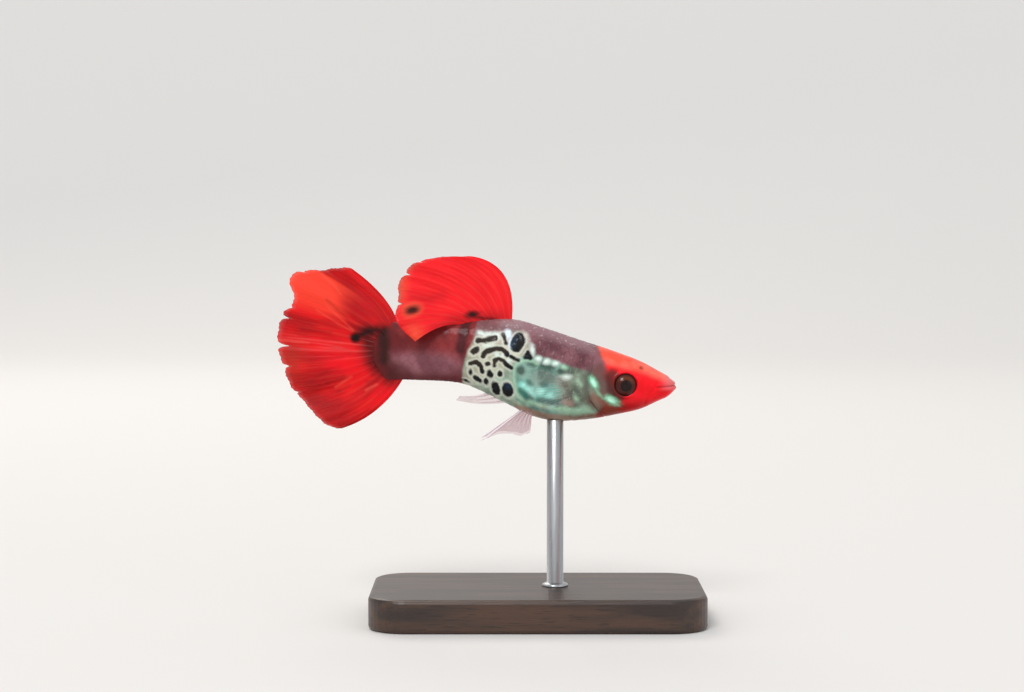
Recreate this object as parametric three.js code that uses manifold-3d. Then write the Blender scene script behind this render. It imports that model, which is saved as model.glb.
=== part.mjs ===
// A life-size display model of a male fancy guppy, held level in mid-swim on a plain stand.
// Millimetres, +Z up, snout towards +X. The origin is on the floor, under the middle of the base.
// Inside the fish's own group a place is given by how far it lies behind the snout, and by its
// height above the line from the snout to the middle of the tail root.
import * as THREE from "three";
import { mergeVertices } from "three/addons/utils/BufferGeometryUtils.js";
import Module from "manifold-3d";

const wasm = await Module();
wasm.setup();

const radians = THREE.MathUtils.degToRad;
const { clamp, lerp, smoothstep } = THREE.MathUtils;

// Sizes that the whole model follows
const GAP = 0.3; // clear space between neighbouring pieces
const BODY_LENGTH = 26; // snout to the root of the tail fin
const NOSE_DOWN = radians(6.5); // the fish tips forward as it swims
const TAIL_SWAY = 0.9; // the root of the tail fin swings this far to the left

// The body's outline, as [distance behind the snout, value]
const BACK = [[0, 0.5], [1.5, 1.12], [3.4, 1.87], [6.2, 2.58], [9, 3.15], [12.3, 3.86], [15.2, 4.32],
  [19, 3.78], [22.5, 3.2], [26, 2.75]];
const BELLY = [[0, -0.75], [1.25, -1.42], [2.9, -2.4], [4.7, -3.05], [7.3, -3.82], [10.4, -4.33],
  [12.7, -4.08], [15.5, -3.07], [18.4, -2.1], [20, -1.92], [23, -2.12], [26, -2.4]];
const HALF_WIDTH = [[0, 0.95], [1.5, 1.3], [3, 1.65], [4.5, 1.95], [7.5, 2.2], [10.5, 2.3],
  [14, 2.0], [18, 1.45], [22, 0.95], [26, 0.36]];
const WIDEST_HEIGHT = [[0, -0.1], [4, -0.1], [8, -0.5], [12, -0.2], [18, 0.7], [26, 0.15]];
// 1 makes a round section, and less makes a squarer one
const BACK_ROUNDNESS = [[0, 0.72], [4, 0.8], [9, 0.95], [26, 1]];
const BELLY_ROUNDNESS = [[0, 0.85], [7, 1], [12, 1.08], [26, 1]];
const SNOUT_ROUNDING = 0.9;
const TAIL_ROOT_BULGE = 1.5; // the flesh runs this far out over the middle of the tail fin
const RINGS = 46;
const RING_POINTS = 36;

// Head
const EYE = { behind: 4.55, height: -0.3, radius: 1.22, depth: 0.8, out: 0.24 };
const MOUTH = { front: 0.1, corner: 2.0, drop: 0.42, lip: 0.14, lipSpread: 0.32 };
const CHIN = { behind: 3.5, height: -2.9 };
const NOSTRIL = { behind: 3.3, turn: radians(47), radius: 0.2 };
const GILL = { rear: 7.9, height: -0.9, upperBend: 0.058, lowerBend: 0.3, flare: 0.2, thick: 0.6 };

// Where the trunk ends and the tail stalk begins
const STALK_FROM = 19.7;

// Fins
const FIN_THICK = 0.48; // of the membrane between two rays
const FIN_TIP_THICK = 0.24;
const RAY_RIDGE = 0.12; // how far a ray stands out of the membrane, on each face

// Stand
const BELLY_CLEAR = 18; // the belly's height above the floor where the rod meets it
const ROD = { behind: 10.4, radius: 0.75, sides: 20, sunk: 1.6 };
const BASE = { length: 30, width: 17, height: 3, corner: 3, bevel: 0.35, ahead: 1.6 };

// A smooth curve through [place, value] pairs, level beyond its ends
function along(pairs, place) {
  const last = pairs.length - 1;
  const slope = (k) => {
    const before = pairs[Math.max(k - 1, 0)];
    const after = pairs[Math.min(k + 1, last)];
    return (after[1] - before[1]) / (after[0] - before[0]);
  };
  let k = 0;
  while (k < last - 1 && place > pairs[k + 1][0]) k++;
  const step = pairs[k + 1][0] - pairs[k][0];
  const t = clamp((place - pairs[k][0]) / step, 0, 1);
  const near = (1 + 2 * t) * (1 - t) ** 2 * pairs[k][1] + t * (1 - t) ** 2 * step * slope(k);
  const far = t * t * (3 - 2 * t) * pairs[k + 1][1] - t * t * (1 - t) * step * slope(k + 1);
  return near + far;
}

// How far the body's middle lies to the left, at a distance behind the snout
function sway(behind) {
  const share = Math.max(0, behind - 12) / (BODY_LENGTH - 12);
  return TAIL_SWAY * share * share;
}

function place(behind, aside, height) {
  return new THREE.Vector3(-behind, sway(behind) + aside, height);
}

// The edge of the gill opening at a height
function gillEdge(height) {
  const off = height - GILL.height;
  return GILL.rear - off * off * (off > 0 ? GILL.upperBend : GILL.lowerBend);
}

// The height of the line of the mouth
function gape(behind) {
  return MOUTH.front - MOUTH.drop * clamp(behind / MOUTH.corner, 0, 1);
}

const power = (value, exponent) => Math.sign(value) * Math.abs(value) ** exponent;

// A point of the body's surface. turn 0 is the back, a quarter turn the right flank.
// grow moves the surface out, and raised adds the head's own relief.
function bodyPoint(behind, turn, grow, raised) {
  const back = along(BACK, behind) + grow;
  const belly = along(BELLY, behind) - grow;
  const widest = along(WIDEST_HEIGHT, behind);
  const up = Math.cos(turn);
  const side = Math.sin(turn);
  const roundness = along(up > 0 ? BACK_ROUNDNESS : BELLY_ROUNDNESS, behind);
  const inSnout = clamp((behind + grow) / (SNOUT_ROUNDING + grow), 0, 1);
  const closing = Math.sqrt(1 - (1 - inSnout) ** 2);
  let height = widest + (up > 0 ? back - widest : widest - belly) * power(up, roundness) * closing;
  let aside = -(along(HALF_WIDTH, behind) + grow) * power(side, roundness) * closing;
  if (raised) {
    const fromGape = Math.abs(height - gape(behind));
    const nearMouth = smoothstep(MOUTH.corner - behind, 0, 0.6);
    const lip = Math.exp(-(((fromGape - MOUTH.lipSpread) / 0.2) ** 2)) * nearMouth;
    const cover = smoothstep(behind, 5.2, 7.4) * smoothstep(2.6 - Math.abs(height - GILL.height), 0, 1.4);
    aside -= side * (MOUTH.lip * lip + GILL.flare * cover);
  }
  const bulge = smoothstep(behind, BODY_LENGTH - 5, BODY_LENGTH) * (TAIL_ROOT_BULGE + grow);
  return place(behind + bulge * (1 - up * up), aside, height);
}

// A closed geometry from points and triangles
function geometryOf(points, triangles) {
  const flat = new Float32Array(points.flatMap((p) => [p.x, p.y, p.z]));
  const geometry = new THREE.BufferGeometry();
  geometry.setAttribute("position", new THREE.BufferAttribute(flat, 3));
  geometry.setIndex(triangles.flat());
  return geometry;
}

// The whole body as one closed shape, its rings closer together towards the snout
function bodyGeometry(grow = 0, raised = false) {
  const points = [];
  const triangles = [];
  for (let ring = 1; ring <= RINGS; ring++) {
    const behind = lerp(-grow, BODY_LENGTH, (ring / RINGS) ** 1.35);
    for (let k = 0; k < RING_POINTS; k++) {
      points.push(bodyPoint(behind, (k / RING_POINTS) * 2 * Math.PI, grow, raised));
    }
  }
  const at = (ring, k) => (ring - 1) * RING_POINTS + (k % RING_POINTS);
  const snout = points.push(place(-grow, 0, along(WIDEST_HEIGHT, 0))) - 1;
  const tail = points.push(bodyPoint(BODY_LENGTH, Math.PI / 2, grow, false).setY(sway(BODY_LENGTH))) - 1;
  for (let k = 0; k < RING_POINTS; k++) {
    triangles.push([snout, at(1, k), at(1, k + 1)], [tail, at(RINGS, k + 1), at(RINGS, k)]);
    for (let ring = 1; ring < RINGS; ring++) {
      triangles.push([at(ring, k), at(ring + 1, k), at(ring + 1, k + 1)]);
      triangles.push([at(ring, k), at(ring + 1, k + 1), at(ring, k + 1)]);
    }
  }
  return geometryOf(points, triangles);
}

// A geometry as a solid that can be cut and joined
function solidOf(geometry) {
  const bare = geometry.clone();
  bare.deleteAttribute("normal");
  bare.deleteAttribute("uv");
  const merged = mergeVertices(bare, 1e-4);
  return new wasm.Manifold(new wasm.Mesh({
    numProp: 3,
    vertProperties: new Float32Array(merged.attributes.position.array),
    triVerts: new Uint32Array(merged.index.array),
  }));
}

// The largest closed surface of a solid, as a geometry
function shapeOf(solid) {
  const [largest] = solid.decompose().sort((a, b) => b.volume() - a.volume());
  const { numProp, numVert, vertProperties, triVerts } = largest.getMesh();
  const flat = new Float32Array(numVert * 3);
  for (let k = 0; k < numVert; k++) {
    flat.set(vertProperties.subarray(k * numProp, k * numProp + 3), k * 3);
  }
  const geometry = new THREE.BufferGeometry();
  geometry.setAttribute("position", new THREE.BufferAttribute(flat, 3));
  geometry.setIndex(new THREE.BufferAttribute(triVerts, 1));
  geometry.computeVertexNormals();
  return geometry;
}

// An outline of [distance behind the snout, height] points, extruded across the fish
function across(outline, from = -12, to = 12) {
  const shape = new THREE.Shape(outline.map(([behind, height]) => new THREE.Vector2(-behind, height)));
  const geometry = new THREE.ExtrudeGeometry(shape, { depth: to - from, bevelEnabled: false });
  geometry.rotateX(Math.PI / 2).translate(0, to, 0);
  return solidOf(geometry);
}

// Everything ahead of the gill opening, or behind it, moved back by a little
function gillLine(back) {
  const heights = Array.from({ length: 15 }, (_, k) => lerp(-5.2, 4.6, k / 14));
  return heights.map((height) => [gillEdge(height) + back, height]);
}

const aheadOfGills = (back) => across([[-4, -5.2], ...gillLine(back), [-4, 4.6]]);
const trunkStretch = across([...gillLine(GAP / 2), [STALK_FROM - GAP / 2, 8], [STALK_FROM - GAP / 2, -8]]);
const stalkStretch = across([[STALK_FROM + GAP / 2, -8], [BODY_LENGTH + 8, -8], [BODY_LENGTH + 8, 8],
  [STALK_FROM + GAP / 2, 8]]);

// The lower jaw's outline, opened out by a little
function jawOutline(out) {
  return [[-2, MOUTH.front + out], [0, MOUTH.front + out], [MOUTH.corner + out, gape(MOUTH.corner) + out],
    [CHIN.behind + out, CHIN.height], [CHIN.behind + out, -6], [-2, -6]];
}

// One gill cover's outline, opened out by a little
function coverOutline(out) {
  return [[6.9 - out, 1.25 + out], [9, 1.25 + out], [9, -3.3 - out], [5.9 - out / 2, -3.1 - out],
    [5.45 - out, -2.6 - out / 2], [6.35 - out, -1.1], [6.5 - out, 0.1]];
}

// An eyeball lying in the surface of the head. side is -1 for the right eye and 1 for the left.
function eyeball(side, grow) {
  const turn = Math.acos((EYE.height - along(WIDEST_HEIGHT, EYE.behind))
    / (along(BACK, EYE.behind) - along(WIDEST_HEIGHT, EYE.behind)));
  const on = bodyPoint(EYE.behind, -side * turn, 0, true);
  const ahead = bodyPoint(EYE.behind - 0.5, -side * turn, 0, true);
  const above = bodyPoint(EYE.behind, -side * (turn - 0.3), 0, true);
  const out = ahead.sub(on).cross(above.clone().sub(on)).multiplyScalar(-side).normalize();
  if (out.y * side < 0) out.negate();
  const geometry = new THREE.SphereGeometry(1, 22, 14);
  geometry.scale(EYE.radius + grow, EYE.radius + grow, EYE.depth + grow);
  geometry.applyQuaternion(new THREE.Quaternion().setFromUnitVectors(new THREE.Vector3(0, 0, 1), out));
  const centre = on.addScaledVector(out, EYE.out - EYE.depth);
  return geometry.translate(centre.x, centre.y, centre.z);
}

function nostril(side) {
  const at = bodyPoint(NOSTRIL.behind, side * NOSTRIL.turn, 0, true);
  return new THREE.SphereGeometry(NOSTRIL.radius, 10, 8).translate(at.x, at.y, at.z);
}

const body = solidOf(bodyGeometry());
const grownBody = solidOf(bodyGeometry(GAP));
const reliefBody = solidOf(bodyGeometry(0, true));

// The head with its jaw, gill covers and eyes parted from it
function headPieces() {
  const whole = reliefBody.intersect(aheadOfGills(-GAP / 2));
  const underCover = solidOf(bodyGeometry(-GILL.thick));
  const recessFloor = solidOf(bodyGeometry(-GILL.thick - GAP));
  const pieces = { lower_jaw: whole.intersect(across(jawOutline(-GAP / 2))) };
  let head = whole.subtract(across(jawOutline(GAP / 2)));
  for (const [name, side] of [["right", -1], ["left", 1]]) {
    const [from, to] = side < 0 ? [-8, -0.4] : [0.4, 8];
    pieces["gill_cover_" + name] = whole.intersect(across(coverOutline(0), from, to)).subtract(underCover);
    head = head.subtract(across(coverOutline(GAP), from, to).subtract(recessFloor));
    pieces["eye_" + name] = solidOf(eyeball(side, 0));
    head = head.subtract(solidOf(eyeball(side, GAP))).subtract(solidOf(nostril(-side)));
  }
  return { head, ...pieces };
}

// 1 on a ray and 0 on the membrane halfway between two rays, from the share across the fin
const onRay = (over, rays) => 0.5 - 0.5 * Math.cos(2 * Math.PI * rays * over);

// A fin as one closed solid: two sheets, one each side of its middle surface, split alike.
// middle gives a point from its share of the way out along a ray, and across the fin.
function finSolid({ rows, rays, middle }) {
  const columns = 2 * rays;
  const thick = (out, over) => {
    const membrane = lerp(FIN_THICK, FIN_TIP_THICK, smoothstep(out, 0.65, 1));
    return membrane + 2 * RAY_RIDGE * onRay(over, rays) * (1 - 0.6 * smoothstep(out, 0.7, 1));
  };
  const points = { front: [], rear: [] };
  for (let row = 0; row <= rows; row++) {
    for (let column = 0; column <= columns; column++) {
      const [out, over] = [row / rows, column / columns];
      const centre = middle(out, over);
      const alongRay = middle(out + 0.01, over).sub(middle(out - 0.01, over));
      const acrossRays = middle(out, over + 0.01).sub(middle(out, over - 0.01));
      const half = alongRay.cross(acrossRays).normalize().multiplyScalar(thick(out, over) / 2);
      points.front.push(centre.clone().add(half));
      points.rear.push(centre.clone().sub(half));
    }
  }
  const count = points.front.length;
  const at = (row, column) => row * (columns + 1) + column;
  const triangles = [];
  const quad = (a, b, c, d) => triangles.push([a, b, c], [a, c, d]);
  for (let row = 0; row < rows; row++) {
    for (let column = 0; column < columns; column++) {
      const corners = [at(row, column), at(row + 1, column), at(row + 1, column + 1), at(row, column + 1)];
      const [a, b, c, d] = corners.map((k) => k + count);
      quad(...corners);
      triangles.push([a, c, b], [a, d, c]);
    }
    const [low, high] = [at(row, 0), at(row + 1, 0)];
    quad(low, low + count, high + count, high);
    quad(low + columns, high + columns, high + columns + count, low + columns + count);
  }
  for (let column = 0; column < columns; column++) {
    const [root, tip] = [at(0, column), at(rows, column)];
    quad(root, root + 1, root + 1 + count, root + count);
    quad(tip, tip + count, tip + 1 + count, tip + 1);
  }
  return solidOf(geometryOf([...points.front, ...points.rear], triangles));
}

// A ray's middle line: a bend from its root, by way of a point, to its tip
function bend(root, by, tip, share) {
  const rest = 1 - share;
  return root.clone().multiplyScalar(rest * rest)
    .addScaledVector(by, 2 * rest * share).addScaledVector(tip, share * share);
}

// The back fin. It fans out behind its root and flops over to the right.
const DORSAL = {
  rays: 10,
  root: { from: 15.3, to: 19.1, sunk: 0.5 },
  bendBehind: [[0, 15.2], [0.3, 18.1], [0.6, 20.1], [1, 21.4]],
  bendHeight: [[0, 9.4], [0.3, 8.3], [0.6, 6.3], [1, 3.7]],
  tipBehind: [[0, 19.7], [0.15, 22.2], [0.3, 24.2], [0.45, 25.2], [0.6, 25.7], [0.75, 25.75],
    [0.88, 25.6], [1, 23.7]],
  tipHeight: [[0, 9.5], [0.15, 9.2], [0.3, 8.5], [0.45, 7.7], [0.6, 6.4], [0.75, 4.8], [0.88, 3.0], [1, 1.4]],
  lean: [[0, 0.5], [0.5, 1.4], [1, 2.5]],
  ripple: 0.22,
};

function dorsalMiddle(out, over) {
  const rootBehind = lerp(DORSAL.root.from, DORSAL.root.to, over);
  const root = place(rootBehind, 0, along(BACK, rootBehind) - DORSAL.root.sunk);
  const by = place(along(DORSAL.bendBehind, over), 0, along(DORSAL.bendHeight, over));
  const tip = place(along(DORSAL.tipBehind, over), 0, along(DORSAL.tipHeight, over));
  const point = bend(root, by, tip, out);
  const clear = Math.max(out, 0);
  const ripple = DORSAL.ripple * Math.sin(over * 4.2 * Math.PI) * clear ** 1.5;
  point.y += ripple - along(DORSAL.lean, over) * clear ** 0.9;
  return point;
}

// The tail fin. Its rays spread from a hub inside the tail stalk, and bend back as they go out.
const CAUDAL = {
  rays: 18,
  hub: { behind: 25, height: 0.4 },
  upper: radians(52), // of the first ray's tip, above the line straight back
  lower: radians(-60),
  // A ray is a bent line from its root by way of a bend to its tip. The bows say how many times steeper
  // than the tip the root and the bend lie, and bendReach how far out the bend is, as a share of the tip's.
  rootBow: [[0, 1.5], [0.6, 1.5], [1, 1.75]],
  bendBow: [[0, 1.5], [0.6, 1.5], [1, 1.38]],
  bendReach: [[0, 0.5], [0.6, 0.5], [1, 0.66]],
  rootReach: [[0, 2.0], [0.25, 1.5], [0.5, 1.4], [0.75, 1.6], [1, 2.4]],
  reach: [[0, 8.6], [0.12, 10.2], [0.22, 11.9], [0.305, 10.7], [0.38, 11.4], [0.5, 11.3], [0.62, 10.7],
    [0.73, 10.4], [0.83, 9.9], [0.93, 9.6], [1, 8.9]],
  fringe: 0.22, // how far a ray's tip stands past the membrane beside it
  ripple: 0.5,
  ripples: 3.1,
  sweep: 1.0, // the fin carries on swinging to the left
};

// A point in the fish's upright middle plane, at an angle and a distance from the tail fin's hub
function fromHub(angle, distance) {
  const { behind, height } = CAUDAL.hub;
  return new THREE.Vector3(-behind - distance * Math.cos(angle), 0, height + distance * Math.sin(angle));
}

function caudalMiddle(out, over) {
  const angle = lerp(CAUDAL.upper, CAUDAL.lower, over);
  const reach = along(CAUDAL.reach, over) + CAUDAL.fringe * (onRay(over, CAUDAL.rays) - 1);
  const root = fromHub(angle * along(CAUDAL.rootBow, over), along(CAUDAL.rootReach, over));
  const by = fromHub(angle * along(CAUDAL.bendBow, over), reach * along(CAUDAL.bendReach, over));
  const point = bend(root, by, fromHub(angle, reach), out);
  const clear = Math.max(out, 0);
  const wave = CAUDAL.ripple * Math.cos((over - 0.11) * CAUDAL.ripples * 2 * Math.PI) * clear ** 1.2;
  return point.setY(sway(BODY_LENGTH) + CAUDAL.sweep * clear + wave);
}

// The male's slim anal fin, carried close under the tail stalk
const ANAL = { rays: 3, root: [[14.3, -3.1], [16.3, -2.2]], tip: [[19.5, -3.55], [19.2, -3.1]], sag: 0.25 };

function analMiddle(out, over) {
  const [behind, height] = [0, 1].map((k) => {
    const root = lerp(ANAL.root[0][k], ANAL.root[1][k], over);
    return lerp(root, lerp(ANAL.tip[0][k], ANAL.tip[1][k], over), out);
  });
  return place(behind, 0, height - ANAL.sag * Math.sin(clamp(out, 0, 1) * Math.PI));
}

// The pelvic fins, under the belly: short rays ahead, and the longest ray trailing
const PELVIC = {
  rays: 6,
  root: { from: 12.5, to: 13.5, height: -3.7, aside: 0.55 },
  tipBehind: [[0, 12.55], [0.25, 13.3], [0.5, 14.2], [0.78, 15.3], [1, 17.0]],
  tipHeight: [[0, -5.6], [0.25, -5.95], [0.5, -5.9], [0.78, -6.05], [1, -6.9]],
  spread: 0.8,
};

function pelvicMiddle(side) {
  return (out, over) => {
    const rootBehind = lerp(PELVIC.root.from, PELVIC.root.to, over);
    const behind = lerp(rootBehind, along(PELVIC.tipBehind, over), out);
    const height = lerp(PELVIC.root.height, along(PELVIC.tipHeight, over), out);
    return place(behind, side * (PELVIC.root.aside + PELVIC.spread * out), height);
  };
}

// The pectoral fins, low on the flank behind the gills, held half open
const PECTORAL = {
  rays: 8,
  root: { behind: 8.7, upper: -0.5, lower: -1.7, sunk: 0.4 },
  tipBehind: [[0, 12.6], [0.35, 13.5], [0.7, 13.0], [1, 11.4]],
  tipHeight: [[0, 0.4], [0.35, -1.0], [0.7, -2.5], [1, -3.4]],
  tipAside: [[0, 3.6], [0.5, 4.0], [1, 3.5]],
};

function pectoralMiddle(side) {
  return (out, over) => {
    const rootHeight = lerp(PECTORAL.root.upper, PECTORAL.root.lower, over);
    const rootAside = along(HALF_WIDTH, PECTORAL.root.behind) - PECTORAL.root.sunk;
    const behind = lerp(PECTORAL.root.behind, along(PECTORAL.tipBehind, over), out);
    const aside = lerp(rootAside, along(PECTORAL.tipAside, over), out);
    return place(behind, side * aside, lerp(rootHeight, along(PECTORAL.tipHeight, over), out));
  };
}

function finPieces() {
  const fins = {
    dorsal_fin: finSolid({ rows: 9, rays: DORSAL.rays, middle: dorsalMiddle }),
    caudal_fin: finSolid({ rows: 9, rays: CAUDAL.rays, middle: caudalMiddle }),
    anal_fin: finSolid({ rows: 6, rays: ANAL.rays, middle: analMiddle }),
  };
  for (const [name, side] of [["right", -1], ["left", 1]]) {
    fins["pelvic_fin_" + name] = finSolid({ rows: 5, rays: PELVIC.rays, middle: pelvicMiddle(side) });
    fins["pectoral_fin_" + name] = finSolid({ rows: 5, rays: PECTORAL.rays, middle: pectoralMiddle(side) });
  }
  for (const name in fins) fins[name] = fins[name].subtract(grownBody);
  return fins;
}

const fish = new THREE.Group();
fish.rotation.y = NOSE_DOWN;
const bellyPoint = place(ROD.behind, 0, along(BELLY, ROD.behind)).applyEuler(fish.rotation);
fish.position.set(BASE.ahead, 0, BELLY_CLEAR).sub(bellyPoint);
fish.position.y = 0;
fish.updateMatrix();

// The rod stands in a socket in the base, and its top is hollowed to sit under the belly
function standPieces() {
  const outline = new THREE.Shape();
  const [x, y, r] = [BASE.length / 2 - BASE.bevel, BASE.width / 2 - BASE.bevel, BASE.corner];
  outline.moveTo(-x + r, -y).lineTo(x - r, -y).absarc(x - r, -y + r, r, -Math.PI / 2, 0);
  outline.lineTo(x, y - r).absarc(x - r, y - r, r, 0, Math.PI / 2);
  outline.lineTo(-x + r, y).absarc(-x + r, y - r, r, Math.PI / 2, Math.PI);
  outline.lineTo(-x, -y + r).absarc(-x + r, -y + r, r, Math.PI, 1.5 * Math.PI);
  const slab = new THREE.ExtrudeGeometry(outline, {
    depth: BASE.height - 2 * BASE.bevel, bevelThickness: BASE.bevel, bevelSize: BASE.bevel,
    bevelSegments: 2, curveSegments: 5,
  }).translate(0, 0, BASE.bevel);
  const upright = (radius, from, to) => {
    const standing = new THREE.CylinderGeometry(radius, radius, to - from, ROD.sides).rotateX(Math.PI / 2);
    return solidOf(standing.translate(BASE.ahead, 0, (from + to) / 2));
  };
  const foot = BASE.height - ROD.sunk;
  const socket = upright(ROD.radius + GAP, foot - GAP, BASE.height + 1);
  const bellyAbove = grownBody.transform(fish.matrix.elements);
  return {
    stand_base: solidOf(slab).subtract(socket),
    stand_rod: upright(ROD.radius, foot, BELLY_CLEAR + 2).subtract(bellyAbove),
  };
}

function finish(color, roughness, metalness = 0) {
  return new THREE.MeshStandardMaterial({ color, roughness, metalness });
}

const RED_SKIN = finish(0xe8402e, 0.4);
const FLANK_SKIN = finish(0x7fae9c, 0.35, 0.3);
const STALK_SKIN = finish(0x7a4a52, 0.4);
const RED_FIN = finish(0xe5231f, 0.45);
const CLEAR_FIN = finish(0xc9a0a0, 0.3);
const EYE_FINISH = finish(0x1c0d0a, 0.1);
const BASE_FINISH = finish(0x2b2724, 0.5);
const ROD_FINISH = finish(0xb9bcc0, 0.3, 1);
const MATERIALS = {
  head: RED_SKIN, lower_jaw: RED_SKIN, gill_cover_right: FLANK_SKIN, gill_cover_left: FLANK_SKIN,
  eye_right: EYE_FINISH, eye_left: EYE_FINISH, trunk: FLANK_SKIN, tail_stalk: STALK_SKIN,
  dorsal_fin: RED_FIN, caudal_fin: RED_FIN, anal_fin: CLEAR_FIN,
  pelvic_fin_right: CLEAR_FIN, pelvic_fin_left: CLEAR_FIN,
  pectoral_fin_right: CLEAR_FIN, pectoral_fin_left: CLEAR_FIN,
  stand_base: BASE_FINISH, stand_rod: ROD_FINISH,
};

function addPieces(group, pieces) {
  for (const [name, solid] of Object.entries(pieces)) {
    const mesh = new THREE.Mesh(shapeOf(solid), MATERIALS[name]);
    mesh.name = name;
    group.add(mesh);
  }
}

const model = new THREE.Group();
addPieces(fish, headPieces());
addPieces(fish, { trunk: body.intersect(trunkStretch), tail_stalk: body.intersect(stalkStretch) });
addPieces(fish, finPieces());
addPieces(model, standPieces());
model.add(fish);

export default model;
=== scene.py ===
# %% [markdown]
# # A fancy guppy on its display stand
# The solids of the fish are already packed as a frame. This lesson dresses them: one skin over the flesh,
# thin rayed fins, wet eyes, and a plain stand. Everything is in metres once it is in Blender, but a fish
# this small is easier to think about in millimetres, so the helpers turn millimetres into metres.

# %% Load the frame
import math

import bpy
import numpy as np
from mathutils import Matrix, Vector


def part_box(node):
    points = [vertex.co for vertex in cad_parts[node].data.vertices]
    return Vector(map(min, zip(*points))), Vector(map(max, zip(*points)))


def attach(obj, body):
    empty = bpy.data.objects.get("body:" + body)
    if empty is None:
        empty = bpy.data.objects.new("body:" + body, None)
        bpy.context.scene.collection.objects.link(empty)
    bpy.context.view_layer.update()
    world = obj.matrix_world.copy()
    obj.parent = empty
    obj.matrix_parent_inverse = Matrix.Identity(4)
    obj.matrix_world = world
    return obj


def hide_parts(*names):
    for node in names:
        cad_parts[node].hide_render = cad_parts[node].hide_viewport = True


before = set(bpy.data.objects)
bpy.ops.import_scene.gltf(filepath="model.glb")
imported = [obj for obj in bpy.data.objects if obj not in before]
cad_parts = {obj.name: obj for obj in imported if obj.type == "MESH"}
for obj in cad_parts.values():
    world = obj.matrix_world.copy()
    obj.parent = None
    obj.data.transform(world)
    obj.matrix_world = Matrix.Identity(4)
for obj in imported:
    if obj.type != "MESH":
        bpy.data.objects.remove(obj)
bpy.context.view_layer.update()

MM = 0.001

# %% [markdown]
# ## The fish's own frame
# Places on the fish are given by how far they lie behind the snout, how far to the left, and how high above
# the line from snout to tail root. The fish tips forward as it swims, so one function turns such a place
# into the scene. The sizes repeat those of the solids, so the skin lands on them. It leaves them by a few
# tenths of a millimetre where it closes over the rim of each eye, and where the stalk narrows into the tail.

# %% Sizes of the fish
BODY_LENGTH = 26.0
NOSE_DOWN = math.radians(6.5)
TAIL_SWAY = 0.9
BACK = [(0, 0.5), (1.5, 1.12), (3.4, 1.87), (6.2, 2.58), (9, 3.15), (12.3, 3.86), (15.2, 4.32),
        (19, 3.78), (22.5, 3.2), (26, 2.75)]
BELLY = [(0, -0.75), (1.25, -1.42), (2.9, -2.4), (4.7, -3.05), (7.3, -3.82), (10.4, -4.33),
         (12.7, -4.08), (15.5, -3.07), (18.4, -2.1), (20, -1.92), (23, -2.12), (26, -2.4)]
HALF_WIDTH = [(0, 0.95), (1.5, 1.3), (3, 1.65), (4.5, 1.95), (7.5, 2.2), (10.5, 2.3),
              (14, 2.0), (18, 1.45), (22, 0.95), (26, 0.36)]
WIDEST_HEIGHT = [(0, -0.1), (4, -0.1), (8, -0.5), (12, -0.2), (18, 0.7), (26, 0.15)]
BACK_ROUNDNESS = [(0, 0.72), (4, 0.8), (9, 0.95), (26, 1)]
BELLY_ROUNDNESS = [(0, 0.85), (7, 1), (12, 1.08), (26, 1)]
SNOUT_ROUNDING = 0.9
TAIL_ROOT_BULGE = 1.5
TAIL_TAPER = {"length": 2.4, "narrower_by": 0.72}  # the stalk's last stretch, and the share of width it loses
PAST_TAIL_ROOT = 0.06  # how much the middle still drifts aside per millimetre behind the tail root
ROD = {"behind": 10.4, "ahead_of_middle": 1.6, "belly_clear": 18.0, "radius": 0.75}


def along(pairs, places):
    """A smooth curve through (place, value) pairs, level beyond its ends."""
    x, y = np.array(pairs, float).T
    wide_x, wide_y = np.pad(x, 1, "edge"), np.pad(y, 1, "edge")
    slope = (wide_y[2:] - wide_y[:-2]) / (wide_x[2:] - wide_x[:-2])
    places = np.asarray(places, float)
    k = np.clip(np.searchsorted(x, places, side="left") - 1, 0, len(x) - 2)
    step = x[k + 1] - x[k]
    t = np.clip((places - x[k]) / step, 0, 1)
    near = (1 + 2 * t) * (1 - t) ** 2 * y[k] + t * (1 - t) ** 2 * step * slope[k]
    far = t * t * (3 - 2 * t) * y[k + 1] - t * t * (1 - t) * step * slope[k + 1]
    return near + far


def ease(value, low, high):
    """0 below low, 1 above high, and a smooth rise between."""
    t = np.clip((np.asarray(value, float) - low) / (high - low), 0, 1)
    return t * t * (3 - 2 * t)


def sway(behind):
    share = np.maximum(0, np.asarray(behind, float) - 12) / (BODY_LENGTH - 12)
    return TAIL_SWAY * share ** 2


def tipped(behind, aside, height):
    """Millimetres of the fish's frame, turned nose down, as an array of points."""
    behind, aside, height = np.broadcast_arrays(behind, aside, height)
    x = -behind * math.cos(NOSE_DOWN) + height * math.sin(NOSE_DOWN)
    z = behind * math.sin(NOSE_DOWN) + height * math.cos(NOSE_DOWN)
    return np.stack([x, aside, z], axis=-1)


belly_point = tipped(ROD["behind"], 0, along(BELLY, ROD["behind"]))
fish_origin = np.array([ROD["ahead_of_middle"], 0, ROD["belly_clear"]]) - belly_point


def in_scene(behind, aside, height):
    """Millimetres of the fish's frame as metres of the scene."""
    return (tipped(behind, aside, height) + fish_origin) * MM


print("snout at", np.round(in_scene(0, 0, 0) / MM, 2), "mm")

# %% [markdown]
# ## Camera
# The fish is seen square from its right side, a little from above, as a close-up lens sees it. A long lens
# keeps its proportions true. The camera is aimed so that the snout falls where it does in the picture.

# %% Camera
PIXEL = 0.09  # millimetres of fish to one pixel of the 1024 x 692 picture
SNOUT_PIXEL = (675.5, 386.0)
PICTURE = (1024, 692)
LENS, SENSOR = 85.0, 36.0
LOOKING_DOWN = math.radians(3)

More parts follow.
